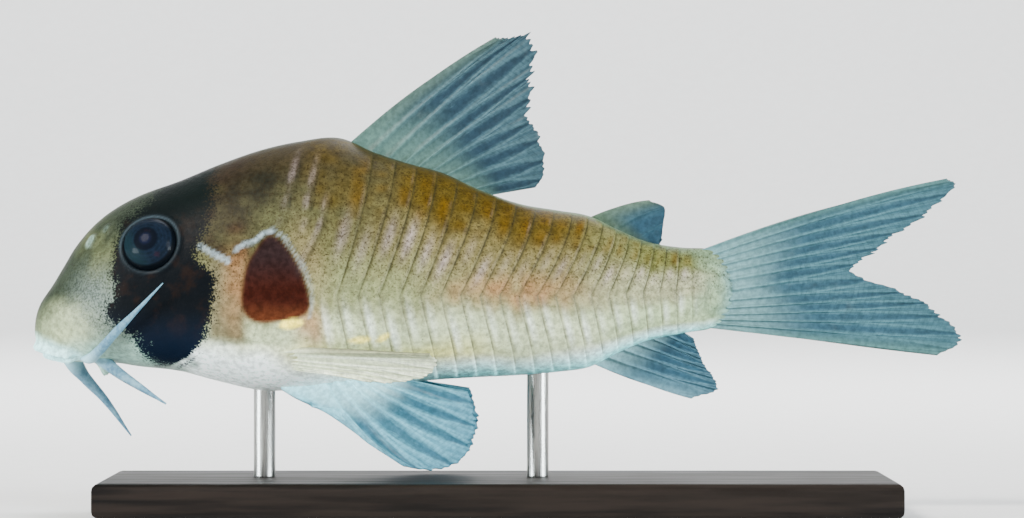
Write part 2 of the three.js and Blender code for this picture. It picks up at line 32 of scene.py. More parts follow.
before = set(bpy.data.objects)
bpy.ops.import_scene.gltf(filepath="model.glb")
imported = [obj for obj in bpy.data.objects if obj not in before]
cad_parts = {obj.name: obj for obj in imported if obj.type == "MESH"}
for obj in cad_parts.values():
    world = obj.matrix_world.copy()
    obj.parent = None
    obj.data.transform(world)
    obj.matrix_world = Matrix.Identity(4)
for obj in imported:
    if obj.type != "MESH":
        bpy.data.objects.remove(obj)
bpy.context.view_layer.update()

import math

import bpy
import numpy as np
from mathutils import Vector

# The fish is laid out in millimetres from its snout (s, rearward) and its belly line (z, upward).
MM = 0.001
TOTAL_LENGTH = 68.2
BELLY_HEIGHT = 8.9

# Body sections: s, top z, bottom z, half width
STATIONS = np.array([
    [0, 4.4, 4.4, 0],
    [0.12, 5.5, 3.7, 0.9],
    [0.4, 6.3, 3.1, 1.6],
    [1.25, 7.6, 2.5, 2.55],
    [2.1, 9, 2.2, 3.2],
    [3, 10.5, 2.1, 3.75],
    [4.3, 12.05, 2.05, 4.4],
    [5.7, 13.2, 2.05, 4.95],
    [7.7, 14.3, 1.75, 5.5],
    [10.7, 15.4, 1.4, 6.05],
    [13.6, 16.6, 0.65, 6.4],
    [16.6, 17.65, 0, 6.65],
    [19.5, 18.3, 0, 6.75],
    [22.4, 18.55, 0.15, 6.7],
    [25.1, 17.45, 0.4, 6.5],
    [27.6, 16.65, 0.6, 6.2],
    [30.1, 15.95, 0.8, 5.85],
    [32.7, 14.75, 0.95, 5.4],
    [35.7, 13.7, 1.1, 4.85],
    [38.6, 13.2, 1.35, 4.25],
    [40.8, 12.8, 1.7, 3.75],
    [43, 11.75, 2.8, 3.2],
    [45.1, 10.9, 3.65, 2.65],
    [47.5, 10.5, 4.15, 2.05],
    [48.9, 10.45, 4.35, 1.7],
    [51.7, 10.45, 4.5, 1.15],
])
TAIL_END = 48.9
TAIL_CAP = 2.8
# The stalk loses this share of its width from here to the end of its cap
THINNING = 0.72
THIN_FROM = 47
# Height of the widest line, which the side line follows
MIDDLE = np.array([[0, 4.4], [3, 5.2], [8, 6], [14, 6.5], [22, 6.9], [30, 7], [40, 7], [49, 7.4], [52, 7.4]])
UPPER_ROUNDNESS = 2.05
LOWER_ROUNDNESS = 2.5

# Scutes
SCUTE_COUNT = 22
FIRST_SCUTE = 20.9
LAST_SCUTE = 50.6
SCUTE_SHRINK = 0.72
LEAN_ABOVE = 2.6
LEAN_BELOW = 1.2
LEAN_POWER = 1.6
LEAN_GROWS = (12, 24)
LEAN_FADES = (36, 50)
# Share of a scute's length where it is highest, where the scutes grow flat, and the groove of the side line
PLATE_CREST = 0.9
PLATES_FADE = (47.5, 50)
SIDE_LINE_DEPTH = 0.09
SIDE_LINE_ANGLE = 0.035

# The photograph in pixels: its width, its middle, the column of the snout and the row of the belly line
PHOTO_WIDTH = 1024
MIDDLE_COLUMN = 512
MIDDLE_ROW = 259
SNOUT_COLUMN = 35
BELLY_ROW = 390
# Real size of a pixel at the fish, focal length and width of the film, in millimetres
PIXEL = 0.0736
LENS = 180
FILM_WIDTH = 36
# Middle of the view and distance of the camera in the fish's own millimetres
VIEW_S = (MIDDLE_COLUMN - SNOUT_COLUMN) * PIXEL
VIEW_Z = (BELLY_ROW - MIDDLE_ROW) * PIXEL
VIEW_DISTANCE = LENS / FILM_WIDTH * PHOTO_WIDTH * PIXEL

# Eye, its socket and the rim round it
EYE_S = 8.75
EYE_Z = 10.75
EYE_RADIUS = 2.05
EYE_DEPTH = 1.4
EYE_SINK = 0.35
SOCKET_DEPTH = 1.1
RIM_HEIGHT = 0.07

# How far the other forms of the head stand out, or how deep they are
UPPER_LIP = 0.42
LOWER_LIP = 0.36
SLIT_DEPTH = 0.3
CHIN_FLAP = 1.05
PORE_DEPTH = 0.3
BONE_HEIGHT = 0.06
PATCH_DEPTH = 0.1


def soft(low, high, value):
    """A smooth step from 0 at low to 1 at high."""
    t = np.clip((np.asarray(value, float) - low) / (high - low), 0, 1)
    return t * t * (3 - 2 * t)


def ridge(away, width):
    """1 on a line, falling smoothly to nothing beside it."""
    return np.exp(-(away / width) ** 2)


def mix(a, b, t):
    return a + (b - a) * t


def read(table, column, s):
    """A smooth curve through a table's rows, even in the root of s so that the snout stays round."""
    s = np.maximum(np.asarray(s, float), 0)
    last = len(table) - 1
    knots = np.sqrt(table[:, 0])
    values = table[:, column]
    i = np.clip(np.searchsorted(table[:, 0], s) - 1, 0, last - 1)
    slopes = np.empty(last + 1)
    slopes[1:-1] = (values[2:] - values[:-2]) / (knots[2:] - knots[:-2])
    slopes[0] = (values[1] - values[0]) / (knots[1] - knots[0])
    slopes[-1] = (values[-1] - values[-2]) / (knots[-1] - knots[-2])
    width = knots[i + 1] - knots[i]
    t = np.clip((np.sqrt(s) - knots[i]) / width, 0, 1)
    start = 2 * t ** 3 - 3 * t ** 2 + 1
    rise = (t ** 3 - 2 * t ** 2 + t) * width
    fall = (t ** 3 - t ** 2) * width
    return values[i] * start + values[i + 1] * (1 - start) + slopes[i] * rise + slopes[i + 1] * fall


def section(s):
    """Middle height, reach up, reach down and half width of the body at s."""
    middle = read(MIDDLE, 1, s)
    past = np.clip((np.asarray(s, float) - TAIL_END) / TAIL_CAP, 0, 1)
    close = np.sqrt(1 - past ** 2)
    up = (read(STATIONS, 1, s) - middle) * close
    down = (middle - read(STATIONS, 2, s)) * close
    thin = 1 - THINNING * soft(THIN_FROM, TAIL_END + TAIL_CAP, s)
    return middle, up, down, read(STATIONS, 3, s) * np.sqrt(close) * thin


def skin_point(s, angle):
    """Points of the body's smooth surface, as rows of s, y, z."""
    across = np.cos(angle)
    high = np.sin(angle)
    middle, up, down, half = section(s)
    power = 2 / np.where(high > 0, UPPER_ROUNDNESS, LOWER_ROUNDNESS)
    y = half * np.sign(across) * np.abs(across) ** power
    z = middle + np.where(high > 0, up, down) * np.sign(high) * np.abs(high) ** power
    return np.stack([np.broadcast_to(s, y.shape), y, z], -1)


def outward(s, angle):
    """The way out of the smooth surface, as unit vectors."""
    step = 0.02
    along = skin_point(s + step, angle) - skin_point(np.maximum(s - step, 0), angle)
    around = skin_point(s, angle + step) - skin_point(s, angle - step)
    normal = -np.cross(along, around)
    return normal / np.maximum(np.linalg.norm(normal, axis=-1, keepdims=True), 1e-12)


def lean(a, angle):
    """How far a seam between scutes lies behind its foremost point on the side line."""
    high = np.abs(np.sin(angle))
    reach = np.where(np.sin(angle) > 0, LEAN_ABOVE, LEAN_BELOW)
    strength = soft(*LEAN_GROWS, a) * (1 - soft(*LEAN_FADES, a))
    return reach * strength * (1 - (1 - high) ** LEAN_POWER)


def scute_start(number):
    """Where a scute starts on the side line. The scutes grow shorter towards the tail."""
    t = number / SCUTE_COUNT
    spread = (t - (1 - SCUTE_SHRINK) * t * t / 2) / (1 - (1 - SCUTE_SHRINK) / 2)
    return mix(FIRST_SCUTE, LAST_SCUTE, spread)


def flank_place(s, z):
    """The place on the right flank at s and z, and the way out of the skin there."""
    angle = 0.1
    step = 0.005
    while skin_point(s, np.array([angle]))[0, 2] < z:
        angle += step
    angles = np.array([angle])
    return skin_point(s, angles)[0], outward(np.array([float(s)]), angles)[0]


def as_seen(points):
    """Places of points in the photograph, as s and z of the fish's middle plane."""
    nearer = 1 / (1 - np.abs(points[:, 1]) / VIEW_DISTANCE)
    middle = np.array([VIEW_S, VIEW_Z])
    return middle + (points[:, [0, 2]] - middle) * nearer[:, None]


def in_metres(points):
    """Fish places in millimetres to the part's frame in metres."""
    points = np.asarray(points, float)
    moved = points + np.array([-TOTAL_LENGTH / 2, 0, BELLY_HEIGHT])
    return moved * MM


# Distances and marks on the flank, all from s and z in millimetres

def line_distance(places, line):
    """Distance from each place to a line through a few points."""
    best = np.full(len(places), 1e9)
    for start, end in zip(line[:-1], line[1:]):
        start = np.asarray(start, float)
        way = np.asarray(end, float) - start
        t = np.clip(((places - start) @ way) / (way @ way), 0, 1)
        best = np.minimum(best, np.linalg.norm(places - (start + t[:, None] * way), axis=1))
    return best


def inside(places, outline, edge):
    """1 well inside a closed outline, 0 outside, soft over the edge width."""
    closed = list(outline) + [outline[0]]
    away = line_distance(places, closed)
    x, z = places[:, 0], places[:, 1]
    within = np.zeros(len(places), bool)
    for (x0, z0), (x1, z1) in zip(closed[:-1], closed[1:]):
        crosses = (z0 > z) != (z1 > z)
        rise = z1 - z0 if z1 != z0 else 1e-9
        within ^= crosses & (x < (x1 - x0) * (z - z0) / rise + x0)
    signed = np.where(within, away, -away)
    return soft(-edge, edge, signed)


def spot(places, centre, size, tilt=0.0, edge=0.35):
    """1 inside a tilted oval, 0 outside."""
    turn = math.radians(tilt)
    x = places[:, 0] - centre[0]
    z = places[:, 1] - centre[1]
    along = (x * math.cos(turn) + z * math.sin(turn)) / size[0]
    up = (-x * math.sin(turn) + z * math.cos(turn)) / size[1]
    return 1 - soft(1 - edge, 1 + edge, np.hypot(along, up))


def smooth_curve(before, start, end, after, t):
    """A smooth curve from start to end, at shares t of the way."""
    return 0.5 * (2 * start + (end - before) * t + (2 * before - 5 * start + 4 * end - after) * t ** 2
                  + (3 * start - before - 3 * end + after) * t ** 3)


def rounded(points, steps):
    """A finer closed outline through a few points."""
    ring = np.asarray(points, float)
    finer = []
    for i in range(len(ring)):
        near = [ring[(i + k) % len(ring)] for k in (-1, 0, 1, 2)]
        finer += [tuple(smooth_curve(*near, step / steps)) for step in range(steps)]
    return finer


DARK_MASK = rounded([
    (9.2, 18), (9.2, 15.2), (8.2, 13.7), (6.6, 12.2), (6, 10), (5.7, 8.7), (6, 7.1), (5.3, 5.9),
    (5.6, 4.9), (7.1, 4), (7.7, 2.9), (9.3, 1.9), (11, 1.9), (12.3, 3.6), (12.9, 5.6), (13.2, 7),
    (13.2, 8.4), (12.1, 9.4), (11.8, 10.3), (12.4, 11.6), (12.8, 13.6), (12.9, 15.6), (13.1, 18),
], 4)
GILL_PATCH = rounded([
    (17.2, 11.35), (18.1, 10.95), (18.85, 10), (19.6, 8.7), (20.1, 7.3), (20.2, 6), (19.5, 5.3),
    (18.1, 5), (16.6, 4.85), (15.6, 5.3), (15.2, 6.4), (15.45, 8.5), (16.1, 10),
], 4)
BONE_LINES = [
    [(12.1, 10.6), (13, 10.1), (14.2, 9.5)],
    [(14.75, 10.3), (15.4, 10.75), (16.1, 10.9), (16.8, 11.5), (17.5, 11.75)],
    [(17.5, 11.75), (18.3, 11.3), (19.2, 10), (19.9, 8.8), (20.35, 7.4), (20.4, 6.2), (20.2, 5.3)],
]
# Pale striations where the gill cover's lower edge shows through the mask
MASK_STREAKS = [
    [(12.7, 3.4), (11.2, 2.3), (9.6, 1.4)],
    [(12.9, 2.7), (11.8, 1.9), (10.6, 1.3)],
    [(8.6, 3.4), (7.6, 4.3)],
]
# Shallow folds behind and under the gill cover, each with its depth
GILL_FOLDS = [
    ([(13.5, 3.2), (16, 3.4), (19, 3.3), (21.5, 3.6)], 0.1),
    ([(21.3, 4), (21.4, 7), (20.8, 9.6), (19.4, 12), (18.4, 13.4)], 0.12),
]
# Painted pale lilac sheen lines, each with a dark rear edge, behind the nape: place, lowest and highest
# height, and tilt
NAPE_LINES = [(18.4, 0.5, 0.9, -0.3), (20, 0.45, 0.85, -0.25), (21.4, 0.2, 0.6, -0.35)]
# Right half of the mouth's slit as s, y, z, and then all of it
MOUTH_HALF = [(0.5, 0, 2.95), (0.75, 0.9, 2.85), (1.5, 1.8, 2.6), (2.9, 2.2, 2.35)]
MOUTH = [(s, -y, z) for s, y, z in MOUTH_HALF[:0:-1]] + MOUTH_HALF
# Nostrils: s, z and radius
NOSTRILS = [(4.35, 10.9, 0.34), (5.5, 11.8, 0.22)]


# Meshes

def deselect():
    bpy.ops.object.select_all(action="DESELECT")


def shape_vertices(obj, places):
    obj.data.vertices.foreach_set("co", np.ascontiguousarray(places, dtype=np.float32).ravel())
    obj.data.update()


def vertex_places(obj):
    places = np.empty(len(obj.data.vertices) * 3, np.float32)
    obj.data.vertices.foreach_get("co", places)
    return places.reshape(-1, 3).astype(float)


def store(obj, name, values):
    attribute = obj.data.attributes.new(name, "FLOAT", "POINT")
    attribute.data.foreach_set("value", np.ascontiguousarray(values, dtype=np.float32))


def recalculate_normals(obj):
    deselect()
    obj.select_set(True)
    bpy.context.view_layer.objects.active = obj
    bpy.ops.object.mode_set(mode="EDIT")
    bpy.ops.mesh.select_all(action="SELECT")
    bpy.ops.mesh.normals_make_consistent(inside=False)
    bpy.ops.object.mode_set(mode="OBJECT")


def apply_modifier(obj, kind, **settings):
    deselect()
    obj.select_set(True)
    bpy.context.view_layer.objects.active = obj
    modifier = obj.modifiers.new(kind.title(), kind)
    for key, value in settings.items():
        setattr(modifier, key, value)
    bpy.ops.object.modifier_apply(modifier=modifier.name)


def shade_smooth(obj):
    obj.data.polygons.foreach_set("use_smooth", np.ones(len(obj.data.polygons), bool))
    obj.data.update()


def finish_piece(obj, name, material, nodes):
    """Names a piece, gives it its material and lets it stand for its nodes."""
    obj.name = name
    obj.data.name = name
    obj.data.materials.clear()
    obj.data.materials.append(material)
    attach(obj, "root")
    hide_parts(*nodes)


# Materials

def linear(hex_colour):
    """An sRGB hex colour as linear values, opaque."""
    text = hex_colour.lstrip("#")
    parts = [int(text[i:i + 2], 16) / 255 for i in (0, 2, 4)]
    return [c / 12.92 if c <= 0.04045 else ((c + 0.055) / 1.055) ** 2.4 for c in parts] + [1.0]


def add(tree, kind, inputs, out=0, **settings):
    """Adds a shader node with its settings, fills or links its inputs and returns one output.

    Inputs go by name, or by number where a node has several of one name, as a Math node does.
    """
    new = tree.nodes.new("ShaderNode" + kind)
    for key, value in settings.items():
        setattr(new, key, value)
    for key, value in inputs.items():
        if isinstance(value, bpy.types.NodeSocket):
            tree.links.new(value, new.inputs[key])
        else:
            new.inputs[key].default_value = linear(value) if isinstance(value, str) else value
    return new.outputs[out] if len(new.outputs) else new


# Settings that many nodes share: one spreads a value smoothly to a new range, the other blends two tones
EASED = {"interpolation_type": "SMOOTHSTEP"}
BLEND = {"data_type": "RGBA", "out": "Result"}


def new_material(name):
    material = bpy.data.materials.new(name)
    material.use_nodes = True
    material.node_tree.nodes.clear()
    return material, material.node_tree


def speckles(tree, sizes):
    """Noise outputs in the part's own frame, one for each size in mm and stretch."""
    place = add(tree, "TexCoord", {}, out="Object")
    found = []
    for size_mm, stretch in sizes:
        turned = add(tree, "Mapping", {"Vector": place, "Scale": stretch})
        found.append(add(tree, "TexNoise", {
            "Vector": turned, "Scale": 1 / (size_mm * MM), "Detail": 3.0, "Roughness": 0.6}))
    return found


def laid_over(tree, colour, layers):
    """Lays tones over a colour, each by its own share."""
    for share, tone in layers:
        colour = add(tree, "Mix", {"Factor": share, "A": colour, "B": tone}, **BLEND)
    return colour


def wet(tree, colour, bump, bump_mm, strength, roughness, coat, shine=0.1):
    """The wet film that all of the fish has, over its own colour and bumps."""
    normal = add(tree, "Bump", {"Height": bump, "Strength": strength, "Distance": bump_mm * MM})
    # Flesh bends light a little more than the film of water over it
    shader = add(tree, "BsdfPrincipled", {
        "Base Color": colour,
        "Roughness": roughness,
        "IOR": 1.36,
        "Specular IOR Level": shine,
        "Normal": normal,
        "Coat Weight": coat,
        "Coat Roughness": 0.08,
        "Coat IOR": 1.33,
    })
    add(tree, "OutputMaterial", {"Surface": shader})


# What a user may change

def tone_setting(name, description, hex_colour):
    return bpy.props.FloatVectorProperty(
        name=name, description=description, default=linear(hex_colour), size=4, min=0, max=1, subtype="COLOR")


def size_setting(name, description, size_mm):
    return bpy.props.FloatProperty(
        name=name, description=description, default=size_mm * MM, precision=5, unit="LENGTH")


class CatfishSkin(bpy.types.PropertyGroup):
    around: bpy.props.IntProperty(name="Columns", description="Mesh columns round the body", default=256)
    head_rings: bpy.props.IntProperty(name="Head rings", description="Mesh rings along the head", default=180)
    plate_height: size_setting("Scute height", "How far a scute's rear edge stands out", 0.08)
    seam_depth: size_setting("Seam depth", "Depth of the seam behind a scute", 0.035)
    mask: tone_setting("Mask", "Tone of the dark mask", "#070a0d")
    cheek: tone_setting("Cheek", "Light tone of the silver cheek", "#6f7b75")


class CatfishFins(bpy.types.PropertyGroup):
    columns: bpy.props.IntProperty(name="Columns", description="Mesh columns from ray to ray", default=18)
    rows: bpy.props.IntProperty(name="Rows", description="Mesh rows along a ray", default=80)
    web: size_setting("Web", "Thickness of the web between rays", 0.16)
    ray: size_setting("Ray", "Thickness at a ray's root", 0.5)
    dorsal: tone_setting("Dorsal web", "Tone of the dorsal fin's web", "#1c2d37")
    adipose: tone_setting("Adipose web", "Tone of the adipose fin", "#203845")
    anal: tone_setting("Anal web", "Tone of the anal fin's web", "#284553")
    tail: tone_setting("Tail web", "Tone of the tail fin's web", "#27414d")
    pelvic: tone_setting("Pelvic web", "Tone of the pelvic fins' web", "#26505f")
    pectoral: tone_setting("Pectoral web", "Tone of the pectoral fins' web", "#c9d2ae")


class CatfishStand(bpy.types.PropertyGroup):
    rod_radius: size_setting("Rod radius", "Radius of the two rods", 0.8)
    front_rod: size_setting("Front rod", "Distance of the front rod from the snout", 16.9)
    rear_rod: size_setting("Rear rod", "Distance of the rear rod from the snout", 37)
    stain: tone_setting("Stain", "Dark tone of the stained base", "#0a0807")


class CatfishStage(bpy.types.PropertyGroup):
    lens: bpy.props.FloatProperty(
        name="Lens", description="Focal length of the camera", default=LENS, unit="CAMERA")
    pixel: size_setting("Pixel", "Real size of one pixel of the photograph at the fish", PIXEL)
    column: bpy.props.FloatProperty(
        name="Column", description="Middle column of the photograph", default=MIDDLE_COLUMN, subtype="PIXEL")
    row: bpy.props.FloatProperty(
        name="Row", description="Middle row of the photograph", default=MIDDLE_ROW, subtype="PIXEL")
    paper: tone_setting("Paper", "Tone of the paper sweep", "#e8e9e9")
    room: tone_setting("Room", "Tone of the soft light all round", "#e6ecf0")


# Skin

# Mesh rings: their places on a scute as shares of its length, how many close the tail, and how those of
# the head crowd towards the snout
PLATE_STEPS = [0, 0.09, 0.25, 0.42, 0.6, 0.76, 0.88, 0.95]
TAIL_RINGS = 16
HEAD_POWER = 1.5


def ring_places(head_rings):
    """Places of all mesh rings on the side line, closer together on the snout and at the end of the tail."""
    head = [FIRST_SCUTE * (i / head_rings) ** HEAD_POWER for i in range(head_rings)]
    plates = []
    for number in range(SCUTE_COUNT):
        start, end = scute_start(number), scute_start(number + 1)
        plates += [mix(start, end, step) for step in PLATE_STEPS]
    tail_end = TAIL_END + TAIL_CAP
    tail = [mix(LAST_SCUTE, tail_end, math.sin(math.pi / 2 * i / TAIL_RINGS)) for i in range(TAIL_RINGS + 1)]
    return np.array(head + plates + tail)


def body_grid(rings, around):
    """A closed mesh with a pole at the snout and one at the root of the tail fin."""
    deselect()
    bpy.ops.mesh.primitive_uv_sphere_add(
        segments=around, ring_count=len(rings) - 1, radius=1, rotation=(0, math.pi / 2, 0))
    obj = bpy.context.object
    bpy.ops.object.transform_apply(location=True, rotation=True, scale=True)
    unit = vertex_places(obj)
    ring = np.rint(np.arccos(np.clip(-unit[:, 0], -1, 1)) / math.pi * (len(rings) - 1)).astype(int)
    angle = np.arctan2(unit[:, 2], unit[:, 1])
    return obj, ring, angle


def scute_wave(a):
    """Number of the scute at a on the side line, with its place in the scute from 0 to 1."""
    starts = np.array([scute_start(n) for n in range(SCUTE_COUNT + 1)])
    number = np.clip(np.searchsorted(starts, a, side="right") - 1, 0, SCUTE_COUNT - 1)
    return number + np.clip((a - starts[number]) / (starts[number + 1] - starts[number]), 0, 1)


def angle_from_side(angle):
    """Angle away from the side line, on either flank."""
    return np.minimum(np.abs(angle), math.pi - np.abs(angle))


def plate_relief(a, angle, size):
    """Every scute rises to its rear edge and falls into the seam behind. The side line is a groove."""
    share = scute_wave(a) % 1
    rise = np.where(share < PLATE_CREST, share / PLATE_CREST, (1 - share) / (1 - PLATE_CREST))
    plate = rise * size.plate_height / MM
    plate -= size.seam_depth / MM * (1 - soft(0, 0.1, share)) * (share > 0)
    flank = soft(0.1, 0.35, np.abs(np.cos(angle)))
    side_line = ridge(angle_from_side(angle), SIDE_LINE_ANGLE)
    reach = soft(FIRST_SCUTE - 0.01, FIRST_SCUTE + 0.6, a) * (1 - soft(*PLATES_FADE, a))
    return reach * (plate * flank - SIDE_LINE_DEPTH * side_line)


def eye_relief(points, side):
    """The socket of one eye in its rim, and the two nostrils before it with a flap behind each."""
    mirror = (1, side, 1)
    away = np.linalg.norm(points - flank_place(EYE_S, EYE_Z)[0] * mirror, axis=1)
    lift = RIM_HEIGHT * ridge(away - EYE_RADIUS * 1.1, 0.2)
    lift -= SOCKET_DEPTH * (1 - soft(EYE_RADIUS * 0.8, EYE_RADIUS * 1.02, away))
    for s, z, radius in NOSTRILS:
        away = np.linalg.norm(points - flank_place(s, z)[0] * mirror, axis=1)
        flap = 0.06 + 0.6 * radius * soft(-radius, radius, points[:, 0] - s)
        lift += flap * ridge(away - radius * 1.35, 0.16)
        lift -= PORE_DEPTH * (1 - soft(radius * 0.4, radius * 0.9, away))
    return lift


def mouth_relief(points):
    """Thick lips on both sides of the mouth's slit, and the two soft flaps under the chin."""
    s, y, z = points.T
    chin = np.exp(-((s - 5.2) / 0.45) ** 2 - ((np.abs(y) - 1) / 0.5) ** 2)
    lift = CHIN_FLAP * chin * (z < 4)
    away = line_distance(points, MOUTH)
    half = np.array(MOUTH_HALF)
    below = soft(-0.1, 0.1, np.interp(np.abs(y), half[:, 1], half[:, 2]) - z)
    front = 1 - soft(2.6, 3.4, s)
    lift += front * mix(UPPER_LIP, LOWER_LIP, below) * ridge(away - 0.42, 0.27)
    lift -= SLIT_DEPTH * front * ridge(away, 0.11)
    return lift


def gill_relief(places):
    """Folds behind and under the gill cover, its raised bones and its sunken red patch."""
    lift = -PATCH_DEPTH * inside(places, GILL_PATCH, 0.4)
    for fold, depth in GILL_FOLDS:
        lift -= depth * ridge(line_distance(places, fold), 0.3)
    for line in BONE_LINES:
        lift += BONE_HEIGHT * ridge(line_distance(places, line), 0.2)
    return lift


def head_relief(points, places):
    """All forms of the head, much flatter right at the snout's pole."""
    lift = eye_relief(points, -1) + eye_relief(points, 1) + mouth_relief(points) + gill_relief(places)
    lift[points[:, 0] < 0.05] *= 0.3
    return lift


def make_skin(size):
    rings = ring_places(size.head_rings)
    obj, ring, angle = body_grid(rings, size.around)
    a = rings[ring]
    s = a + lean(a, angle)
    pole = (ring == 0) | (ring == len(rings) - 1)
    points = skin_point(s, angle)
    places = as_seen(points)
    normal = outward(s, angle)
    normal[pole] = np.where(ring[pole, None] == 0, (-1.0, 0, 0), (1.0, 0, 0))
    head = (points[:, 0] < FIRST_SCUTE + 3) & (a <= FIRST_SCUTE)
    lift = plate_relief(a, angle, size)
    lift[head] += head_relief(points[head], places[head])
    points = points + normal * lift[:, None]
    shape_vertices(obj, in_metres(points))
    recalculate_normals(obj)
    paint_skin(obj, Markings(a, angle, points, places))
    shade_smooth(obj)
    return obj


# Tones of the skin as base colours
TONES = {
    # Painted pale rim of light along the ridge of the back
    "back rim light": "#384232",
    "shoulder back": "#2c2618",
    "shoulder": "#43432b",
    "gold": "#443813",
    "amber": "#4a3404",
    "olive flank": "#5e5634",
    "rosy flank": "#746848",
    "grey flank": "#6e724e",
    "pale flank": "#a3ac88",
    "cream": "#c7c06c",
    "belly": "#eef8f5",
    # Partly the belly's own tone, partly painted cyan light from below
    "cyan belly and underlight": "#93ecee",
    "stalk gold": "#5a5c32",
    "stalk flank": "#888869",
    "stalk low": "#95a57d",
    "tail base": "#71886a",
    "fin root": "#668a86",
    "snout": "#2a3127",
    "snout middle": "#454f3c",
    "warm snout": "#4f5439",
    "muzzle": "#8fb0a2",
    "cream muzzle": "#a3ae86",
    "lip": "#b8eef0",
    "nape dark": "#1a1a13",
    "brown": "#241c14",
    "cream strip": "#615b43",
    "orange": "#7f4b23",
    "salmon": "#8f5a35",
    "yellow": "#f6e05a",
    "gill top": "#1e1414",
    "gill middle": "#270e08",
    "gill low": "#472414",
    "bone": "#7c8b91",
    "eye ring": "#2f3b42",
    "nostril flap": "#6f857a",
    # Painted shade in the mouth's slit and in the nostrils
    "hollow shade": "#12181a",
    # Painted lilac sheen on the scutes and behind the nape
    "lilac sheen": "#948585",
    "dark seam": "#2c2917",
    "pale seam": "#5f5f49",
}


def lumps(points, size, seed):
    """Soft random values from 0 to 1 that change over about size mm."""
    cell = points / size + seed * 17.31
    low = np.floor(cell)
    part = cell - low
    part = part * part * (3 - 2 * part)
    total = np.zeros(len(points))
    for corner in range(8):
        step = np.array([corner & 1, corner >> 1 & 1, corner >> 2 & 1])
        key = (low + step) @ np.array([12.9898, 78.233, 37.719]) + seed
        value = np.sin(key) * 43758.5453
        weight = np.prod(np.where(step == 1, part, 1 - part), axis=1)
        total += weight * (value - np.floor(value))
    return total


class Markings:
    """The points of the skin with what their tone depends on, and the tones laid on them so far."""

    def __init__(self, a, angle, points, places):
        self.a = a
        self.angle = angle
        self.points = points
        self.places = places
        self.s, self.z = places.T
        middle, up, down = section(self.s)[:3]
        above = self.z - middle
        # From -1 on the belly line over 0 on the side line to 1 on the back
        self.height = above / np.maximum(np.where(above > 0, up, down), 0.1)
        self.broad = lumps(points, 2.6, 1) - 0.5
        self.mottle = lumps(points, 0.9, 2) - 0.5
        self.level = self.height + 0.22 * self.broad + 0.12 * self.mottle
        self.head = 1 - soft(8.5, 12.5, self.s + 2 * self.mottle)
        # Both flanks laid on the right one
        self.right = np.stack([points[:, 0], np.abs(points[:, 1]), points[:, 2]], -1)
        self.dotted = np.ones(len(a))
        self.tone = np.zeros((len(a), 3))

    def lay(self, name, share):
        tone = np.array(linear(TONES[name])[:3])
        self.tone = mix(self.tone, tone, np.clip(share, 0, 1)[:, None])

    def spot(self, *oval):
        return spot(self.places, *oval)


def paint_flank(skin):
    """From the belly line up: pale, then grey and rosy, then olive, gold or the shoulder's dark brown."""
    s, level, mottle = skin.s, skin.level, skin.mottle
    shoulder = 1 - soft(22, 29, s + 3 * skin.broad)
    stalk = soft(38, 46, s + 3 * skin.broad)
    skin.lay("pale flank", np.ones(len(s)))
    skin.lay("stalk low", stalk)
    skin.lay("grey flank", soft(-0.42, 0.0, level))
    skin.lay("rosy flank", soft(-0.35, 0.0, level) * soft(27, 31, s) * (1 - stalk) * (0.7 + 0.6 * mottle))
    skin.lay("stalk flank", stalk * soft(-0.5, 0.0, level))
    skin.lay("olive flank", soft(0.0, 0.45, level) * (1 - stalk))
    skin.lay("gold", soft(0.42, 0.72, level) * (1 - shoulder) * (1 - stalk))
    skin.lay("stalk gold", stalk * soft(0.2, 0.6, level))
    skin.lay("shoulder", shoulder * soft(0.05, 0.5, level))
    skin.lay("shoulder back", shoulder * soft(0.45, 0.95, level))
    skin.lay("gold", shoulder * soft(18.5, 22, s) * soft(0.25, 0.6, level) * (0.45 + mottle))


def paint_belly(skin):
    """Pale belly, brightest in front, under a cream band; bluer towards the tail, partly its own tone and
    partly painted cyan light from below.
    """
    s, height, broad = skin.s, skin.height, skin.broad
    low = 1 - soft(-0.75, -0.4, skin.level)
    skin.lay("cream", low * soft(14, 18, s) * (1 - soft(30, 36, s)) * 0.7)
    skin.lay("belly", 1 - soft(-0.95, -0.68, height + 0.1 * broad - 0.12 * (1 - soft(10, 30, s))))
    # The underside, bluer towards the tail: partly the belly's own tone, partly painted cyan light from below
    skin.lay("cyan belly and underlight", (1 - soft(-1.0, -0.72, height + 0.05 * broad)) * soft(18, 34, s))
    skin.lay("belly", low * soft(7, 11, s) * (1 - soft(16, 20, s)))


def paint_head(skin):
    """Olive snout with a cream muzzle, and brown and cream behind the eye."""
    s, height, level, mottle = skin.s, skin.height, skin.level, skin.mottle
    skin.lay("snout", skin.head)
    skin.lay("snout middle", skin.head * (1 - soft(-0.1, 0.5, level)))
    skin.lay("muzzle", skin.head * (1 - soft(-0.75, -0.2, level)))
    skin.lay("warm snout", skin.spot((5.2, 9.4), (1.5, 3.0), 20, 0.7) * (0.5 + 0.9 * mottle))
    skin.lay("cream muzzle", skin.spot((2.6, 4.7), (2.0, 1.6), 0, 0.7) * (0.65 + 0.6 * mottle))
    behind = soft(11.5, 13, s) * (1 - soft(14.5, 17.5, s))
    skin.lay("brown", behind * soft(0.1, 0.45, level) * (0.75 + 0.9 * mottle))
    strip = soft(12.3, 13.2, s) * (1 - soft(15, 16, s))
    skin.lay("cream strip", strip * soft(-0.6, -0.4, height) * (1 - soft(0.2, 0.4, height)))
    skin.lay("nape dark", skin.spot((16.1, 14.6), (2.6, 1.5), 25, 0.6) * (0.75 + 1.2 * mottle))


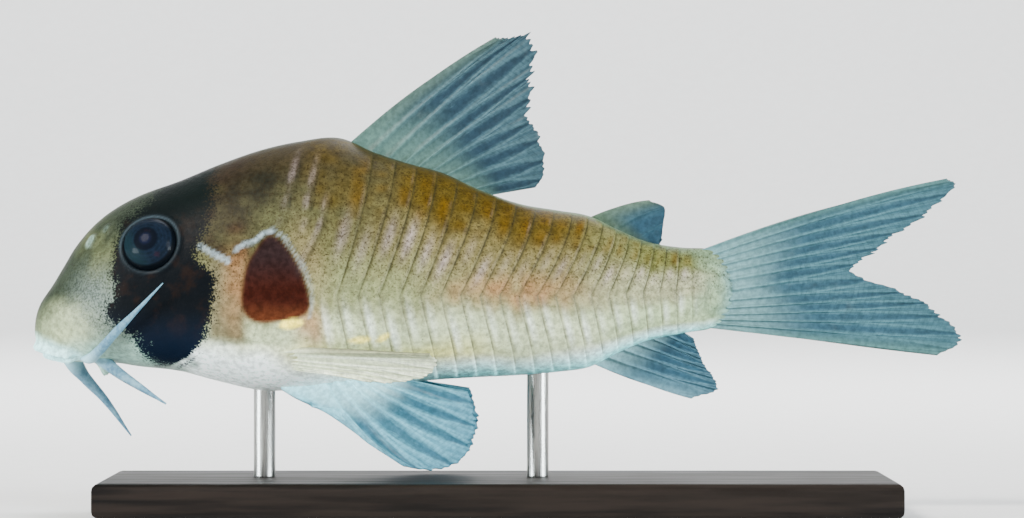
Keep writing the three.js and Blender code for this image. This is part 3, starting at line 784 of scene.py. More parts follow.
def paint_gill_cover(skin):
    """The brick red patch, darker upwards, among warm marks, and one more such mark far back on the flank."""
    z, mottle = skin.z, skin.mottle
    skin.lay("orange", skin.spot((14.8, 7.3), (0.9, 2.9), 0, 0.9) * (0.42 + 0.5 * mottle))
    skin.lay("salmon", skin.spot((20.2, 4.6), (1.1, 1.5), 20, 0.8) * (0.55 + 0.4 * mottle))
    skin.lay("rosy flank", skin.spot((20.2, 9.0), (1.0, 3.2), 15, 0.7) * 0.5)
    skin.lay("salmon", skin.spot((35.4, 7.3), (4.2, 1.1), 0, 0.8) * (0.35 + 0.5 * mottle))
    gill = inside(skin.places, GILL_PATCH, 0.24)
    skin.lay("gill low", gill)
    skin.lay("gill middle", gill * soft(4.9, 6.8, z + 0.6 * mottle))
    skin.lay("gill top", gill * soft(7.2, 10.2, z + 0.6 * skin.broad))
    skin.dotted *= 1 - gill


def paint_scutes(skin):
    """Every scute has its own strength of amber, of painted lilac sheen and of painted pale highlight, and a
    seam behind it.
    """
    height, mottle = skin.height, skin.mottle
    wave = scute_wave(skin.a)
    number = np.floor(wave).astype(int)
    share = wave - number
    rng = np.random.default_rng(5)
    own = rng.random((SCUTE_COUNT + 1, 4))[number].T
    ends = soft(FIRST_SCUTE - 0.05, FIRST_SCUTE + 0.5, skin.a) * (1 - soft(47, 49.8, skin.a))
    scuted = ends * soft(0.1, 0.3, np.abs(np.cos(skin.angle)))
    amber = soft(0.5, 0.66, height) * (1 - soft(0.86, 0.97, height))
    amber = amber * soft(0.25, 0.5, share) * (1 - soft(0.7, 0.98, share))
    amber = amber * (0.1 + 0.5 * own[0] + 1.1 * mottle) * mix(0.35, 1, soft(22.5, 25, skin.s))
    skin.lay("amber", scuted * amber)
    # Painted lilac sheen: a short fleck above the side line on each scute
    fleck = ridge(height - 0.22 - 0.2 * own[1], 0.13) * ridge(share - 0.45, 0.2)
    skin.lay("lilac sheen", scuted * fleck * (0.1 + 0.6 * own[2] ** 1.5))
    # Painted pale highlight: a short streak below the side line on each scute, in the belly's tone
    light = ridge(height + 0.3 + 0.2 * own[3], 0.2) * ridge(share - 0.3, 0.13)
    skin.lay("belly", scuted * light * (0.1 + 0.45 * own[1]))
    seam = np.where(share < 0.5, 1 - soft(0.0, 0.15, share), soft(0.95, 1.0, share))
    seam = scuted * seam * (0.55 + 0.9 * lumps(skin.points, 0.6, 4))
    skin.lay("pale seam", seam * (1 - soft(-0.1, 0.15, height)) * soft(-1, -0.8, height) * 0.75)
    skin.lay("dark seam", seam * soft(-0.1, 0.15, height) * 0.8)
    # Painted lilac sheen towards each scute's raised rear edge
    skin.lay("lilac sheen", scuted * soft(0.74, 0.9, share) * (1 - soft(0.9, 0.97, share)) * (0.02 + 0.22 * mottle))


def paint_nape_lines(skin):
    for first, low, high, tilt in NAPE_LINES:
        bent = skin.s - first + tilt * (skin.z - 14) + 0.5 * skin.broad
        zone = soft(low - 0.1, low + 0.1, skin.height) * (1 - soft(high - 0.1, high + 0.1, skin.height))
        # Painted lilac sheen along each line, with a darker line just behind it
        skin.lay("lilac sheen", ridge(bent, 0.22) * zone * (0.16 + 0.4 * skin.mottle))
        skin.lay("nape dark", ridge(bent - 0.4, 0.16) * zone * (0.5 + 0.8 * skin.mottle))


def paint_bones(skin):
    """Pale bones of the gill cover, without pigment dots."""
    for line, width, strength in zip(BONE_LINES, (0.2, 0.17, 0.13), (1.0, 0.95, 0.45)):
        sharp = np.exp(-(line_distance(skin.places, line) / width) ** 4)
        bone = np.clip(sharp * (0.8 + 0.6 * skin.mottle) * strength, 0, 1)
        skin.lay("bone", bone)
        skin.dotted *= 1 - bone


def paint_edges(skin):
    """Yellow flecks, and a painted pale rim of light along the ridge of the back."""
    s, places = skin.s, skin.places
    skin.lay("yellow", np.maximum.reduce([
        spot(places, (18.85, 4.85), (0.85, 0.34), 8, 0.3),
        spot(places, (23.9, 3.7), (0.75, 0.24), 5, 0.4) * 0.7,
        spot(places, (25.6, 3.85), (0.5, 0.24), 30, 0.4) * 0.7,
    ]))
    # Painted pale rim of light along the ridge of the back: grey-green from behind the snout, in the tail
    # base's paler tone from about 30 mm back
    rim_light = (1 - soft(0.3, 1.5, np.abs(skin.points[:, 1]))) * soft(0.6, 0.9, skin.height)
    skin.lay("back rim light", rim_light * soft(2, 5, s) * 0.75)
    skin.lay("tail base", rim_light * soft(30, 36, s) * 0.6)


def paint_mouth(skin):
    """Lips, painted shade in the slit between them, and the nostrils with painted shade in their holes and a
    pale flap on the front ones.
    """
    away = line_distance(skin.points, MOUTH)
    skin.lay("lip", (1 - soft(0.4, 1.5, away)) * (1 - soft(3.2, 4.4, skin.s)))
    # Painted shade along the mouth's slit
    skin.lay("hollow shade", ridge(away, 0.13) * (1 - soft(2.6, 3.4, skin.s)) * 0.55)
    for s, z, radius in NOSTRILS:
        gap = np.linalg.norm(skin.right - flank_place(s, z)[0], axis=1)
        flap = 1 - soft(radius * 1.2, radius * 1.9, gap)
        skin.lay("nostril flap", flap * soft(0.15, 0.35, radius) * 0.8)
        # Painted shade in the nostril's hole
        skin.lay("hollow shade", (1 - soft(radius * 0.3, radius * 0.8, gap)) * 0.9)


def paint_skin(obj, skin):
    """Paints the tones of the skin and stores where its finer markings lie."""
    s, z, height, mottle, places = skin.s, skin.z, skin.height, skin.mottle, skin.places
    paint_flank(skin)
    paint_belly(skin)
    paint_head(skin)
    paint_gill_cover(skin)
    paint_scutes(skin)
    paint_nape_lines(skin)
    skin.lay("tail base", soft(47.8, 50.8, s + 1.5 * mottle))
    skin.lay("fin root", soft(50, 51.4, s + 0.5 * mottle))
    paint_bones(skin)
    paint_edges(skin)
    paint_mouth(skin)
    colours = obj.data.attributes.new("tone", "FLOAT_COLOR", "POINT")
    colours.data.foreach_set("color", np.c_[skin.tone, np.ones(len(s))].astype(np.float32).ravel())
    away = np.linalg.norm(skin.right - flank_place(EYE_S, EYE_Z)[0], axis=1)
    upper = soft(-1.6, 1.2, (z - EYE_Z) - 0.3 * (s - EYE_S))
    store(obj, "eye_ring", ridge(away - EYE_RADIUS * 1.07, 0.13) * (0.35 + 0.65 * upper))
    streaks = sum(ridge(line_distance(places, line), 0.16) for line in MASK_STREAKS)
    mask = mix(inside(places, DARK_MASK, 1.0), inside(places, DARK_MASK, 1.6), soft(9, 13, z))
    store(obj, "mask", mask * 1.15 - 0.75 * np.clip(streaks, 0, 1) * (0.5 + mottle))
    store(obj, "low_mask", 1 - soft(2.4, 6.5, z))
    store(obj, "high_mask", soft(11, 15, z))
    store(obj, "silver", spot(places, (5.2, 5.9), (2.0, 2.6), 20, 0.8))
    pigment = np.clip(soft(-0.3, 0.5, height) * (1 - 0.6 * skin.head) + 0.25 * (1 - skin.head), 0, 1)
    store(obj, "melanin", pigment * skin.dotted * (1 - 0.7 * (1 - soft(-0.7, -0.3, height))))
    store(obj, "scaly", soft(44, 47.5, s))


def catfish_skin(size):
    """Moist armoured skin: painted tones broken up by fine pigment dots, a ragged mask and a silver cheek."""
    material, tree = new_material("Moist armoured fish skin")
    tone = add(tree, "Attribute", {}, out="Color", attribute_name="tone")
    share = {name: add(tree, "Attribute", {}, out="Fac", attribute_name=name) for name in (
        "mask", "low_mask", "high_mask", "eye_ring", "silver", "melanin", "scaly")}
    # Pigment cells are about 0.1 mm across, drawn at 0.15 mm so that they show
    coarse, fine, dots, tall = speckles(tree, [
        (1.4, (1, 1, 1)), (0.4, (1, 1, 1)), (0.15, (1, 1, 1)), (0.5, (1.4, 1, 0.4))])
    # Upright smudges and a fine unevenness
    smudge = add(tree, "MapRange", {"Value": tall, "From Min": 0.3, "From Max": 0.7, "To Max": 0.5}, **EASED)
    grey = (0.5, 0.5, 0.5, 1)
    worn = add(tree, "Mix", {"Factor": smudge, "A": tone, "B": grey}, blend_type="OVERLAY", **BLEND)
    value = add(tree, "MapRange", {
        "Value": fine, "From Min": 0.3, "From Max": 0.7, "To Min": 0.72, "To Max": 1.34}, **EASED)
    uneven = add(tree, "HueSaturation", {"Value": value, "Color": worn})
    # Small scales at the root of the tail fin, about 0.8 mm across, with a dark rim
    place = add(tree, "TexCoord", {}, out="Object")
    scale = add(tree, "TexVoronoi", {"Vector": place, "Scale": 1 / (0.8 * MM)}, feature="DISTANCE_TO_EDGE")
    rim = add(tree, "MapRange", {
        "Value": scale, "From Min": 0.02, "From Max": 0.12, "To Min": 1.0, "To Max": 0.0}, **EASED)
    scale_edge = add(tree, "Math", {0: rim, 1: share["scaly"]}, operation="MULTIPLY")
    # Dark pigment dots
    dot = add(tree, "MapRange", {"Value": dots, "From Min": 0.51, "From Max": 0.64}, **EASED)
    dark_dots = add(tree, "Math", {0: dot, 1: share["melanin"]}, operation="MULTIPLY")
    # The mask, whose edge breaks up into dots
    ragged = add(tree, "Math", {0: dots, 1: 1.9, 2: share["mask"]}, operation="MULTIPLY_ADD")
    ragged = add(tree, "Math", {0: coarse, 1: 0.6, 2: ragged}, operation="MULTIPLY_ADD")
    masked = add(tree, "MapRange", {"Value": ragged, "From Min": 1.5, "From Max": 1.95}, **EASED)
    cloud = add(tree, "MapRange", {"Value": coarse, "From Min": 0.5, "From Max": 0.7}, **EASED)
    dark = add(tree, "Mix", {"Factor": cloud, "A": size.mask, "B": "#150f0d"}, **BLEND)
    dark = laid_over(tree, dark, [(share["low_mask"], "#0a1422"), (share["high_mask"], "#0a1110")])
    # The cheek, silver between its dots
    glint = add(tree, "MapRange", {"Value": dots, "From Min": 0.4, "From Max": 0.62}, **EASED)
    silver = add(tree, "Mix", {"Factor": glint, "A": size.cheek, "B": "#434e49"}, **BLEND)
    colour = laid_over(tree, uneven, [
        (add(tree, "Math", {0: dark_dots, 1: 0.68}, operation="MULTIPLY"), "#221a0b"),
        (add(tree, "Math", {0: scale_edge, 1: 0.2}, operation="MULTIPLY"), "#3f3d28"),
        (add(tree, "Math", {0: share["silver"], 1: 0.75}, operation="MULTIPLY"), silver),
        (masked, dark),
        (add(tree, "Math", {0: share["eye_ring"], 1: 0.85}, operation="MULTIPLY"), TONES["eye ring"]),
    ])
    bumps = add(tree, "Math", {0: fine, 1: dots}, operation="ADD")
    roughness = add(tree, "MapRange", {
        "Value": fine, "From Min": 0.3, "From Max": 0.7, "To Min": 0.34, "To Max": 0.46}, **EASED)
    wet(tree, colour, bumps, bump_mm=0.05, strength=0.35, roughness=roughness, coat=0.0, shine=0.06)
    return material


class CATFISH_OT_skin(bpy.types.Operator):
    """Make the one skin of head, torso and tail stalk"""
    bl_idname = "catfish.skin"
    bl_label = "Skin"

    def execute(self, context):
        size = context.scene.catfish_skin
        skin = make_skin(size)
        finish_piece(skin, "skin", catfish_skin(size), ["head", "torso", "tail_stalk"])
        return {"FINISHED"}


# Eyes

def make_eye(side):
    """An eyeball flattened along its axis, sunk in its socket. It looks square out of the flank."""
    centre, normal = flank_place(EYE_S, EYE_Z)
    deselect()
    bpy.ops.mesh.primitive_uv_sphere_add(segments=96, ring_count=64, radius=1)
    obj = bpy.context.object
    unit = vertex_places(obj)
    turn = Vector((0, 0, 1)).rotation_difference(Vector(normal)).to_matrix()
    ball = unit * (EYE_RADIUS, EYE_RADIUS, EYE_DEPTH)
    ball = ball @ np.array(turn).T + centre - normal * EYE_SINK
    away = np.hypot(unit[:, 0], unit[:, 1]) * EYE_RADIUS
    ball[:, 1] *= side
    shape_vertices(obj, in_metres(ball))
    recalculate_normals(obj)
    store(obj, "from_axis", np.where(unit[:, 2] > 0, away, EYE_RADIUS))
    centre_out = in_metres(ball) - in_metres(centre * (1, side, 1))
    store(obj, "teal", soft(0.2, 1.6, (-centre_out[:, 0] - 0.6 * centre_out[:, 2]) / MM))
    shade_smooth(obj)
    return obj


def wet_eye():
    """A dark wet eye: navy iris with a teal tint and fine rings, a black pupil with a blue core, and painted
    reddish glints.
    """
    material, tree = new_material("Wet dark fish eye")
    away = add(tree, "Attribute", {}, out="Fac", attribute_name="from_axis")
    teal = add(tree, "Attribute", {}, out="Fac", attribute_name="teal")
    fine, coarse = speckles(tree, [(0.3, (1, 1, 1)), (1.2, (1, 1, 1))])
    grain = add(tree, "MapRange", {"Value": fine, "From Min": 0.3, "From Max": 0.7}, **EASED)
    iris = add(tree, "Mix", {"Factor": grain, "A": "#0a1119", "B": "#101823"}, **BLEND)
    # Rings of the iris are about 0.24 mm apart
    rings = add(tree, "Math", {0: away, 1: 26.0}, operation="MULTIPLY")
    rings = add(tree, "Math", {0: rings}, operation="SINE")
    rings = add(tree, "Math", {0: rings, 1: 0.3}, operation="MULTIPLY")
    pupil = add(tree, "MapRange", {
        "Value": away, "From Min": 0.82, "From Max": 0.96, "To Min": 1.0, "To Max": 0.0}, **EASED)
    core = add(tree, "MapRange", {
        "Value": away, "From Min": 0.3, "From Max": 0.6, "To Min": 1.0, "To Max": 0.0}, **EASED)
    # Painted reddish glints: a few soft spots from coarse noise
    fleck = add(tree, "MapRange", {
        "Value": coarse, "From Min": 0.62, "From Max": 0.72, "To Max": 0.35}, **EASED)
    rim = add(tree, "MapRange", {"Value": away, "From Min": 1.72, "From Max": 1.9}, **EASED)
    colour = laid_over(tree, iris, [
        (add(tree, "Math", {0: teal, 1: 0.8}, operation="MULTIPLY"), "#0f1f23"),
        (rings, "#131d2a"),
        (pupil, "#080c13"),
        (core, "#0b1020"),
        (fleck, "#2a1118"),
        (rim, "#05080c"),
    ])
    wet(tree, colour, fine, bump_mm=0.01, strength=0.1, roughness=0.4, coat=0.05, shine=0.02)
    return material


class CATFISH_OT_eyes(bpy.types.Operator):
    """Make the two eyes"""
    bl_idname = "catfish.eyes"
    bl_label = "Eyes"

    def execute(self, context):
        material = wet_eye()
        for name, side in (("left", -1), ("right", 1)):
            finish_piece(make_eye(side), "eyeball_" + name, material, ["eye_" + name])
        return {"FINISHED"}


# Fins

def top_of(s):
    middle, up = section(s)[:2]
    return middle + up


def bottom_of(s):
    middle, _, down = section(s)[:3]
    return middle - down


# How deep a fin's root is sunk in the body
ROOT_SINK = 0.5
# Roots and tips of each fin's rays, those of the middle fins as s, z and of the paired fins as s, y, z
DORSAL_ROOTS = [22.9, 24.5, 25.7, 26.8, 27.8, 28.8, 29.8, 30.8, 31.8, 32.8]
DORSAL_TIPS = [
    (33.9, 25.9), (35.3, 26.15), (37, 26.5), (37.4, 24.4), (37.2, 22.9),
    (36.7, 20.6), (37.1, 19.2), (37.5, 17.7), (37.55, 16.1), (36.9, 14.95),
]
ADIPOSE_ROOTS = [40.3, 42.2, 43.9, 45.8]
ADIPOSE_TIPS = [(45.2, 13.9), (46.35, 13.45), (46.25, 12.2), (46.1, 11.1)]
ANAL_ROOTS = [40.6, 41.7, 42.8, 43.8, 44.9, 45.9, 47.2]
ANAL_TIPS = [(48.3, -0.6), (50.35, -0.1), (50.2, 0.75), (49.6, 1.5), (49.2, 2.2), (48.8, 3), (48.5, 3.75)]
# Tips of the tail fin from its upper leading ray over the fork to its lower leading ray
TAIL_TIPS = [
    (67.1, 15.5), (67.95, 15.1), (66.8, 13.7), (65.2, 12.3), (63.4, 11.1), (61.9, 9.9), (60.3, 8.7),
    (63, 7.6), (64.9, 6.8), (66.4, 5.95), (67.7, 4.8), (68.2, 3.5), (66.4, 2.6),
]
TAIL_LEAD_ROOT = 48.1
FORK_ROOT = 51.3
PELVIC_ROOTS = [
    (18.2, 2.4, 0.2), (21.4, 2.8, 0.8), (22.1, 3, 0.9), (22.8, 3.1, 0.95), (23.5, 3.2, 1),
    (24.3, 3.3, 1.1), (25.2, 3.4, 1.2),
]
PELVIC_TIPS = [
    (22.8, 4.2, -1.3), (26.9, 6.6, -5.1), (29.9, 7, -5.75), (32, 7, -4.8), (32.6, 6.8, -3.3),
    (32.65, 6.5, -1.8), (32.1, 6, 0),
]
PECTORAL_ROOTS = [
    (17.2, 5.2, 3.1), (17.4, 5.1, 2.85), (17.6, 5, 2.6), (17.8, 4.9, 2.4), (18, 4.8, 2.2),
    (18.2, 4.7, 2.05), (18.4, 4.6, 1.9),
]
PECTORAL_TIPS = [
    (29.2, 10.3, 2.85), (29.8, 9.7, 2.1), (29.2, 9, 1.2), (28, 8.4, 0.8), (26.6, 7.8, 0.6),
    (25.2, 7.3, 0.7), (24, 6.9, 0.9),
]
# Torn margins of two fins: how strongly they are torn at places from the first ray to the last
DORSAL_TORN = ([0, 0.2, 0.3, 0.5, 0.7, 1], [0.3, 1.2, 1.8, 1.6, 0.8, 0.4])
TAIL_TORN = ([0, 0.1, 0.2, 0.42, 0.5, 0.6, 0.8, 1], [0.2, 0.5, 1.5, 2.2, 1, 0.6, 0.9, 0.3])


def lobe_roots(side):
    """Roots of the rays of one lobe of the tail fin, from its leading ray to the one beside the fork."""
    middle, up, down = section(TAIL_LEAD_ROOT)[:3]
    roots = [(TAIL_LEAD_ROOT, middle + side * ((up if side > 0 else down) - ROOT_SINK))]
    middle, up, down = section(TAIL_END)[:3]
    reach = (up if side > 0 else down) - ROOT_SINK
    count = len(TAIL_TIPS) // 2
    for i in range(1, count):
        angle = mix(1.3, 0.05, (i - 1) / (count - 1))
        s = TAIL_END + (TAIL_CAP - ROOT_SINK) * math.cos(angle)
        roots.append((s, middle + side * reach * math.sin(angle)))
    return roots


def tail_roots():
    """Roots of all rays of the tail fin, from its upper leading ray to its lower one."""
    fork = (FORK_ROOT, float(read(MIDDLE, 1, FORK_ROOT)))
    return lobe_roots(1) + [fork] + lobe_roots(-1)[::-1]


def flat(pairs):
    return [(s, 0.0, z) for s, z in pairs]


def between(table, u):
    """Places between a table's rows, on straight lines from row to row."""
    return np.stack([np.interp(u, np.arange(len(table)), column) for column in table.T], -1)


def smoothly_between(table, u):
    """Places between a table's rows, on a smooth curve through them."""
    last = len(table) - 1
    row = np.clip(u.astype(int), 0, last - 1)
    part = (u - row)[:, None]
    near = [table[np.clip(row + k, 0, last)] for k in (-1, 0, 1, 2)]
    return smooth_curve(*near, part)


def ray_lines(u, t, branches):
    """Height of the rays from 0 to 1. Each ray forks along its length into a few branches."""
    near = np.rint(u)
    away = u - near
    seed = np.sin(near * 12.9898) * 43758.5453
    offset = seed - np.floor(seed)
    fork = soft(0.3 + 0.12 * offset, 1.05, t) * 0.27
    fork_again = soft(0.62 + 0.1 * offset, 1.05, t) * 0.11
    width = mix(0.19, 0.08, soft(0, 0.6, t))
    height = np.zeros_like(u)
    forks = [0.0] if branches == 1 else [-1.0, 1.0]
    finer_forks = [0.0] if branches < 3 else [-1.0, 1.0]
    for first in forks:
        for second in finer_forks:
            place = first * fork + second * fork_again
            height = np.maximum(height, ridge(away - place, width))
    return height


def thicken(obj, thickness):
    """Gives a sheet its thickness, in mm at each vertex, half on either side."""
    steps = 255
    most = float(thickness.max())
    group = obj.vertex_groups.new(name="thickness")
    levels = np.rint(thickness / most * steps).astype(int)
    for level in np.unique(levels):
        members = np.flatnonzero(levels == level).tolist()
        group.add(members, float(level / steps), "REPLACE")
    apply_modifier(obj, "SOLIDIFY", thickness=most * MM, offset=0.0, vertex_group="thickness",
                   thickness_vertex_group=0.0, use_even_offset=False, use_rim=True)
    obj.vertex_groups.clear()


def make_fin(roots, tips, side, bow, sway, size, branches=3, lead=(True, False), notch=0.03, fleshy=0.5,
             torn=((0, 1), (1, 1))):
    """A fin of forked rays and web from the roots to the tips of its rays.

    side is the way across it, bow bends its rays, sway curves it sideways, branches are the ends of a ray,
    lead says whether its first and last ray are strong, notch and torn shape its margin, and fleshy its root.
    """
    roots = np.asarray(roots, float)
    tips = np.asarray(tips, float)
    side = np.asarray(side, float)
    last = len(roots) - 1
    deselect()
    bpy.ops.mesh.primitive_grid_add(x_subdivisions=last * size.columns, y_subdivisions=size.rows, size=2)
    obj = bpy.context.object
    share, t = ((vertex_places(obj)[:, :2] + 1) / 2).T
    u = share * last
    edge = np.maximum(ridge(u, 0.3) * lead[0], ridge(last - u, 0.3) * lead[1])
    line = np.maximum(ray_lines(u, t, branches), edge)
    # The margin: notched between the rays, with a finer tooth and a slower change from ray to ray
    tooth = np.sin(u * 6.3 + 1.3 * np.sin(u * 4.1)) ** 2
    own = 0.5 + 0.5 * np.sin(u * 2.3 + 5 * np.sin(u * 0.9))
    cut = notch * np.interp(share, *torn) * ((1 - line) * 0.35 + tooth * 0.5 + own * 0.6)
    reach = t * mix(1, 1 - cut * (1 - edge), soft(0.3, 1, t))
    # The sheet: rays bent in its plane, all of it curved sideways and rippled along the margin
    root = between(roots, u)
    way = smoothly_between(tips, u) - root
    bulge = (np.interp(share, np.linspace(0, 1, len(bow)), bow) * 4 * reach * (1 - reach))[:, None]
    bend = sway * np.sin(reach * math.pi / 2) * np.sin(share * math.pi)
    ripple = 0.07 * np.sin(u * 2 * math.pi + 3 * t) * soft(0.1, 0.9, t)
    centre = root + way * reach[:, None] + np.cross(way, side) * bulge + side * (bend + ripple)[:, None]
    shape_vertices(obj, in_metres(centre))
    store(obj, "ray", line)
    store(obj, "ray_length", np.linalg.norm(way, axis=1) * reach)
    store(obj, "reach", reach)
    store(obj, "across", u)
    spread = mix(0.2, 0.4, soft(0.1, 0.8, t))
    store(obj, "bundle", np.exp(-(np.abs(u - np.rint(u)) / spread) ** 3))
    store(obj, "lead", ridge(u, 0.65) * lead[0] + ridge(last - u, 0.65) * lead[1])
    web = size.web / MM
    ray = size.ray / MM
    thickness = mix(web + (ray - web) * line, web * 0.5 + 0.1 * line, soft(0, 1, t))
    thickness = np.maximum(thickness, edge * mix(ray * 1.3, 0.2, t))
    thickness = thickness + fleshy * (1 - soft(0, 0.16, t)) * (0.4 + 0.6 * np.sin(share * math.pi))
    thicken(obj, thickness)
    recalculate_normals(obj)
    shade_smooth(obj)
    return obj


def make_middle_fin(roots, tips, bow, sway, size, **more):
    return make_fin(flat(roots), flat(tips), (0, 1, 0), bow, sway, size, **more)


def make_paired_fin(roots, tips, side, bow, sway, size, **more):
    """A fin off the middle plane, on the side that side names. Its bow is mirrored with it."""
    turn = np.array([1, side, 1])
    roots = np.asarray(roots) * turn
    tips = np.asarray(tips) * turn
    middle = len(roots) // 2
    across = np.cross(tips[middle] - roots[middle], tips[-1] - tips[0])
    across = across / np.linalg.norm(across)
    return make_fin(roots, tips, across, [b * side for b in bow], sway, size, **more)


def fin_membrane(name, web, ray, lead, root_tone, margin, rosy):
    """Thin wet web stretched on jointed bony rays: a film, paler rays, a milky root and a dusky margin."""
    material, tree = new_material(name)
    line, bundle, reach, length, edge, across = (
        add(tree, "Attribute", {}, out="Fac", attribute_name=key)
        for key in ("ray", "bundle", "reach", "ray_length", "lead", "across"))
    fine, broad = speckles(tree, [(0.35, (1, 1, 1)), (2.2, (1, 1, 1))])
    # Streaks that run with the rays, seven from ray to ray: noise read across the fin and along its rays
    crosswise = add(tree, "Math", {0: across, 1: 7.0}, operation="MULTIPLY")
    spread = add(tree, "CombineXYZ", {"X": crosswise, "Y": length})
    streak = add(tree, "TexNoise", {"Vector": spread, "Scale": 1.0, "Detail": 2.0, "Roughness": 0.6})
    band = add(tree, "Math", {0: streak, 1: 0.9, 2: line}, operation="MULTIPLY_ADD")
    band = add(tree, "MapRange", {"Value": band, "From Min": 0.5, "From Max": 1.3, "To Max": 0.85}, **EASED)
    broken = add(tree, "Math", {0: streak, 1: 1.1, 2: bundle}, operation="MULTIPLY_ADD")
    broken = add(tree, "MapRange", {
        "Value": broken, "From Min": 0.75, "From Max": 1.7, "To Max": 0.6}, **EASED)
    # Joints of the rays are about 0.36 mm apart
    joint = add(tree, "Math", {0: length, 1: 2.8}, operation="MULTIPLY")
    joint = add(tree, "Math", {0: joint}, operation="FRACT")
    joint = add(tree, "MapRange", {
        "Value": joint, "From Min": 0.72, "From Max": 0.9, "To Max": 0.25}, **EASED)
    jointed = add(tree, "MapRange", {"Value": reach, "From Min": 0.25, "From Max": 0.5}, **EASED)
    joints = add(tree, "Math", {0: joint, 1: jointed}, operation="MULTIPLY")
    cloud = add(tree, "MapRange", {"Value": broad, "From Min": 0.35, "From Max": 0.7, "To Max": 0.6}, **EASED)
    blush = add(tree, "MapRange", {
        "Value": broad, "From Min": 0.58, "From Max": 0.75, "To Max": rosy}, **EASED)
    outer = add(tree, "MapRange", {"Value": reach, "From Min": 0.6, "To Max": 0.45}, **EASED)
    inner = add(tree, "MapRange", {"Value": reach, "From Max": 0.45, "To Min": 0.85, "To Max": 0.0}, **EASED)
    colour = laid_over(tree, add(tree, "Mix", {"Factor": cloud, "A": web, "B": margin}, **BLEND), [
        (broken, ray),
        (band, ray),
        (joints, margin),
        (outer, margin),
        (blush, "#5d5b50"),
        (add(tree, "Math", {0: edge, 1: 0.9}, operation="MULTIPLY"), lead),
        (inner, root_tone),
    ])
    value = add(tree, "MapRange", {
        "Value": fine, "From Min": 0.3, "From Max": 0.7, "To Min": 0.8, "To Max": 1.22}, **EASED)
    shaded = add(tree, "HueSaturation", {"Value": value, "Color": colour})
    bumps = add(tree, "Math", {0: fine, 1: 0.3, 2: line}, operation="MULTIPLY_ADD")
    wet(tree, shaded, bumps, bump_mm=0.12, strength=0.5, roughness=0.45, coat=0.08)
    return material


class CATFISH_OT_fins(bpy.types.Operator):
    """Make the dorsal, adipose, anal, tail and paired fins"""
    bl_idname = "catfish.fins"
    bl_label = "Fins"

    def execute(self, context):
        size = context.scene.catfish_fins
        self.make_middle_fins(size)
        pelvic_web = fin_membrane(
            "Pale pelvic web", size.pelvic, "#5c98aa", "#74b4c4", "#b4eff7", "#2b5163", 0.0)
        pectoral_web = fin_membrane(
            "Cream pectoral web", size.pectoral, "#e8eed8", "#767959", "#dbe3c4", "#bcc4a0", 0.0)
        for name, side in (("left", -1), ("right", 1)):
            pelvic = make_paired_fin(PELVIC_ROOTS, PELVIC_TIPS, side, (-0.08, 0), 0.3, size, notch=0.035)
            finish_piece(pelvic, "pelvic_rays_" + name, pelvic_web, ["pelvic_fin_" + name])
            pectoral = make_paired_fin(
                PECTORAL_ROOTS, PECTORAL_TIPS, side, (0, 0), 0.3, size, notch=0.02, fleshy=0.4)
            finish_piece(pectoral, "pectoral_rays_" + name, pectoral_web, ["pectoral_fin_" + name])
        return {"FINISHED"}

    def make_middle_fins(self, size):
        dorsal_web = fin_membrane(
            "Slate fin web", size.dorsal, "#3c555c", "#44574f", "#4b665e", "#192932", 0.1)
        adipose_web = fin_membrane(
            "Fleshy adipose web", size.adipose, "#26404c", "#4b5c4e", "#44543f", "#1c323d", 0.0)
        anal_web = fin_membrane("Slate anal web", size.anal, "#4c6f7c", "#52747e", "#76989a", "#213844", 0.1)
        tail_web = fin_membrane("Slate tail web", size.tail, "#43666e", "#41605e", "#66898a", "#20363f", 0.1)
        sunk = [(s, float(top_of(s)) - ROOT_SINK) for s in DORSAL_ROOTS]
        dorsal = make_middle_fin(sunk, DORSAL_TIPS, (0.03, 0), 0.5, size, notch=0.05, torn=DORSAL_TORN)
        finish_piece(dorsal, "dorsal_fin_rays", dorsal_web, ["dorsal_fin"])
        sunk = [(s, float(top_of(s)) - ROOT_SINK) for s in ADIPOSE_ROOTS]
        adipose = make_middle_fin(sunk, ADIPOSE_TIPS, (0.05, 0), 0.0, size, branches=1, notch=0.01)
        finish_piece(adipose, "adipose_fin_web", adipose_web, ["adipose_fin"])
        sunk = [(s, float(bottom_of(s)) + ROOT_SINK) for s in ANAL_ROOTS]
        anal = make_middle_fin(sunk, ANAL_TIPS, (-0.02, 0), 0.3, size, notch=0.035)
        finish_piece(anal, "anal_fin_rays", anal_web, ["anal_fin"])
        caudal = make_middle_fin(tail_roots(), TAIL_TIPS, (0.022, 0, 0), 0.5, size,
                                 lead=(True, True), notch=0.035, fleshy=0.35, torn=TAIL_TORN)
        finish_piece(caudal, "tail_fin_rays", tail_web, ["caudal_fin_upper", "caudal_fin_lower"])


# Barbels

# Each barbel's path as s, y, z, and its radius at each of these places
BARBELS = {
    "maxillary_barbel_left": (
        [(3.7, -1.8, 2.6), (4.2, -2.6, 2.4), (5, -4.4, 2.9),
         (6.55, -5.8, 4.5), (8.1, -6.5, 6.05), (9.9, -7.1, 7.9)],
        [0.42, 0.42, 0.36, 0.3, 0.16, 0.04]),
    "mental_barbel_left": (
        [(4, -1.1, 3), (4.6, -1.6, 2.7), (5.4, -2.2, 2.05),
         (6.4, -3, 1.35), (7.9, -3.9, 0.4), (9.95, -4.6, -0.9)],
        [0.65, 0.6, 0.48, 0.38, 0.26, 0.06]),
    "maxillary_barbel_right": (
        [(2.3, 1.2, 3), (2.5, 1.7, 2.5), (2.8, 2.2, 1.8),
         (3.4, 2.9, 0.9), (4.9, 3.5, -0.85), (6.8, 3.8, -3.5)],
        [0.8, 0.75, 0.64, 0.45, 0.28, 0.06]),
    "mental_barbel_right": (
        [(3.8, 1.1, 3), (4.35, 1.6, 2.65), (5.05, 2.2, 1.95),
         (5.95, 3, 1.15), (7.35, 3.9, 0.15), (9.35, 4.6, -1.15)],
        [0.65, 0.6, 0.48, 0.38, 0.26, 0.06]),
}


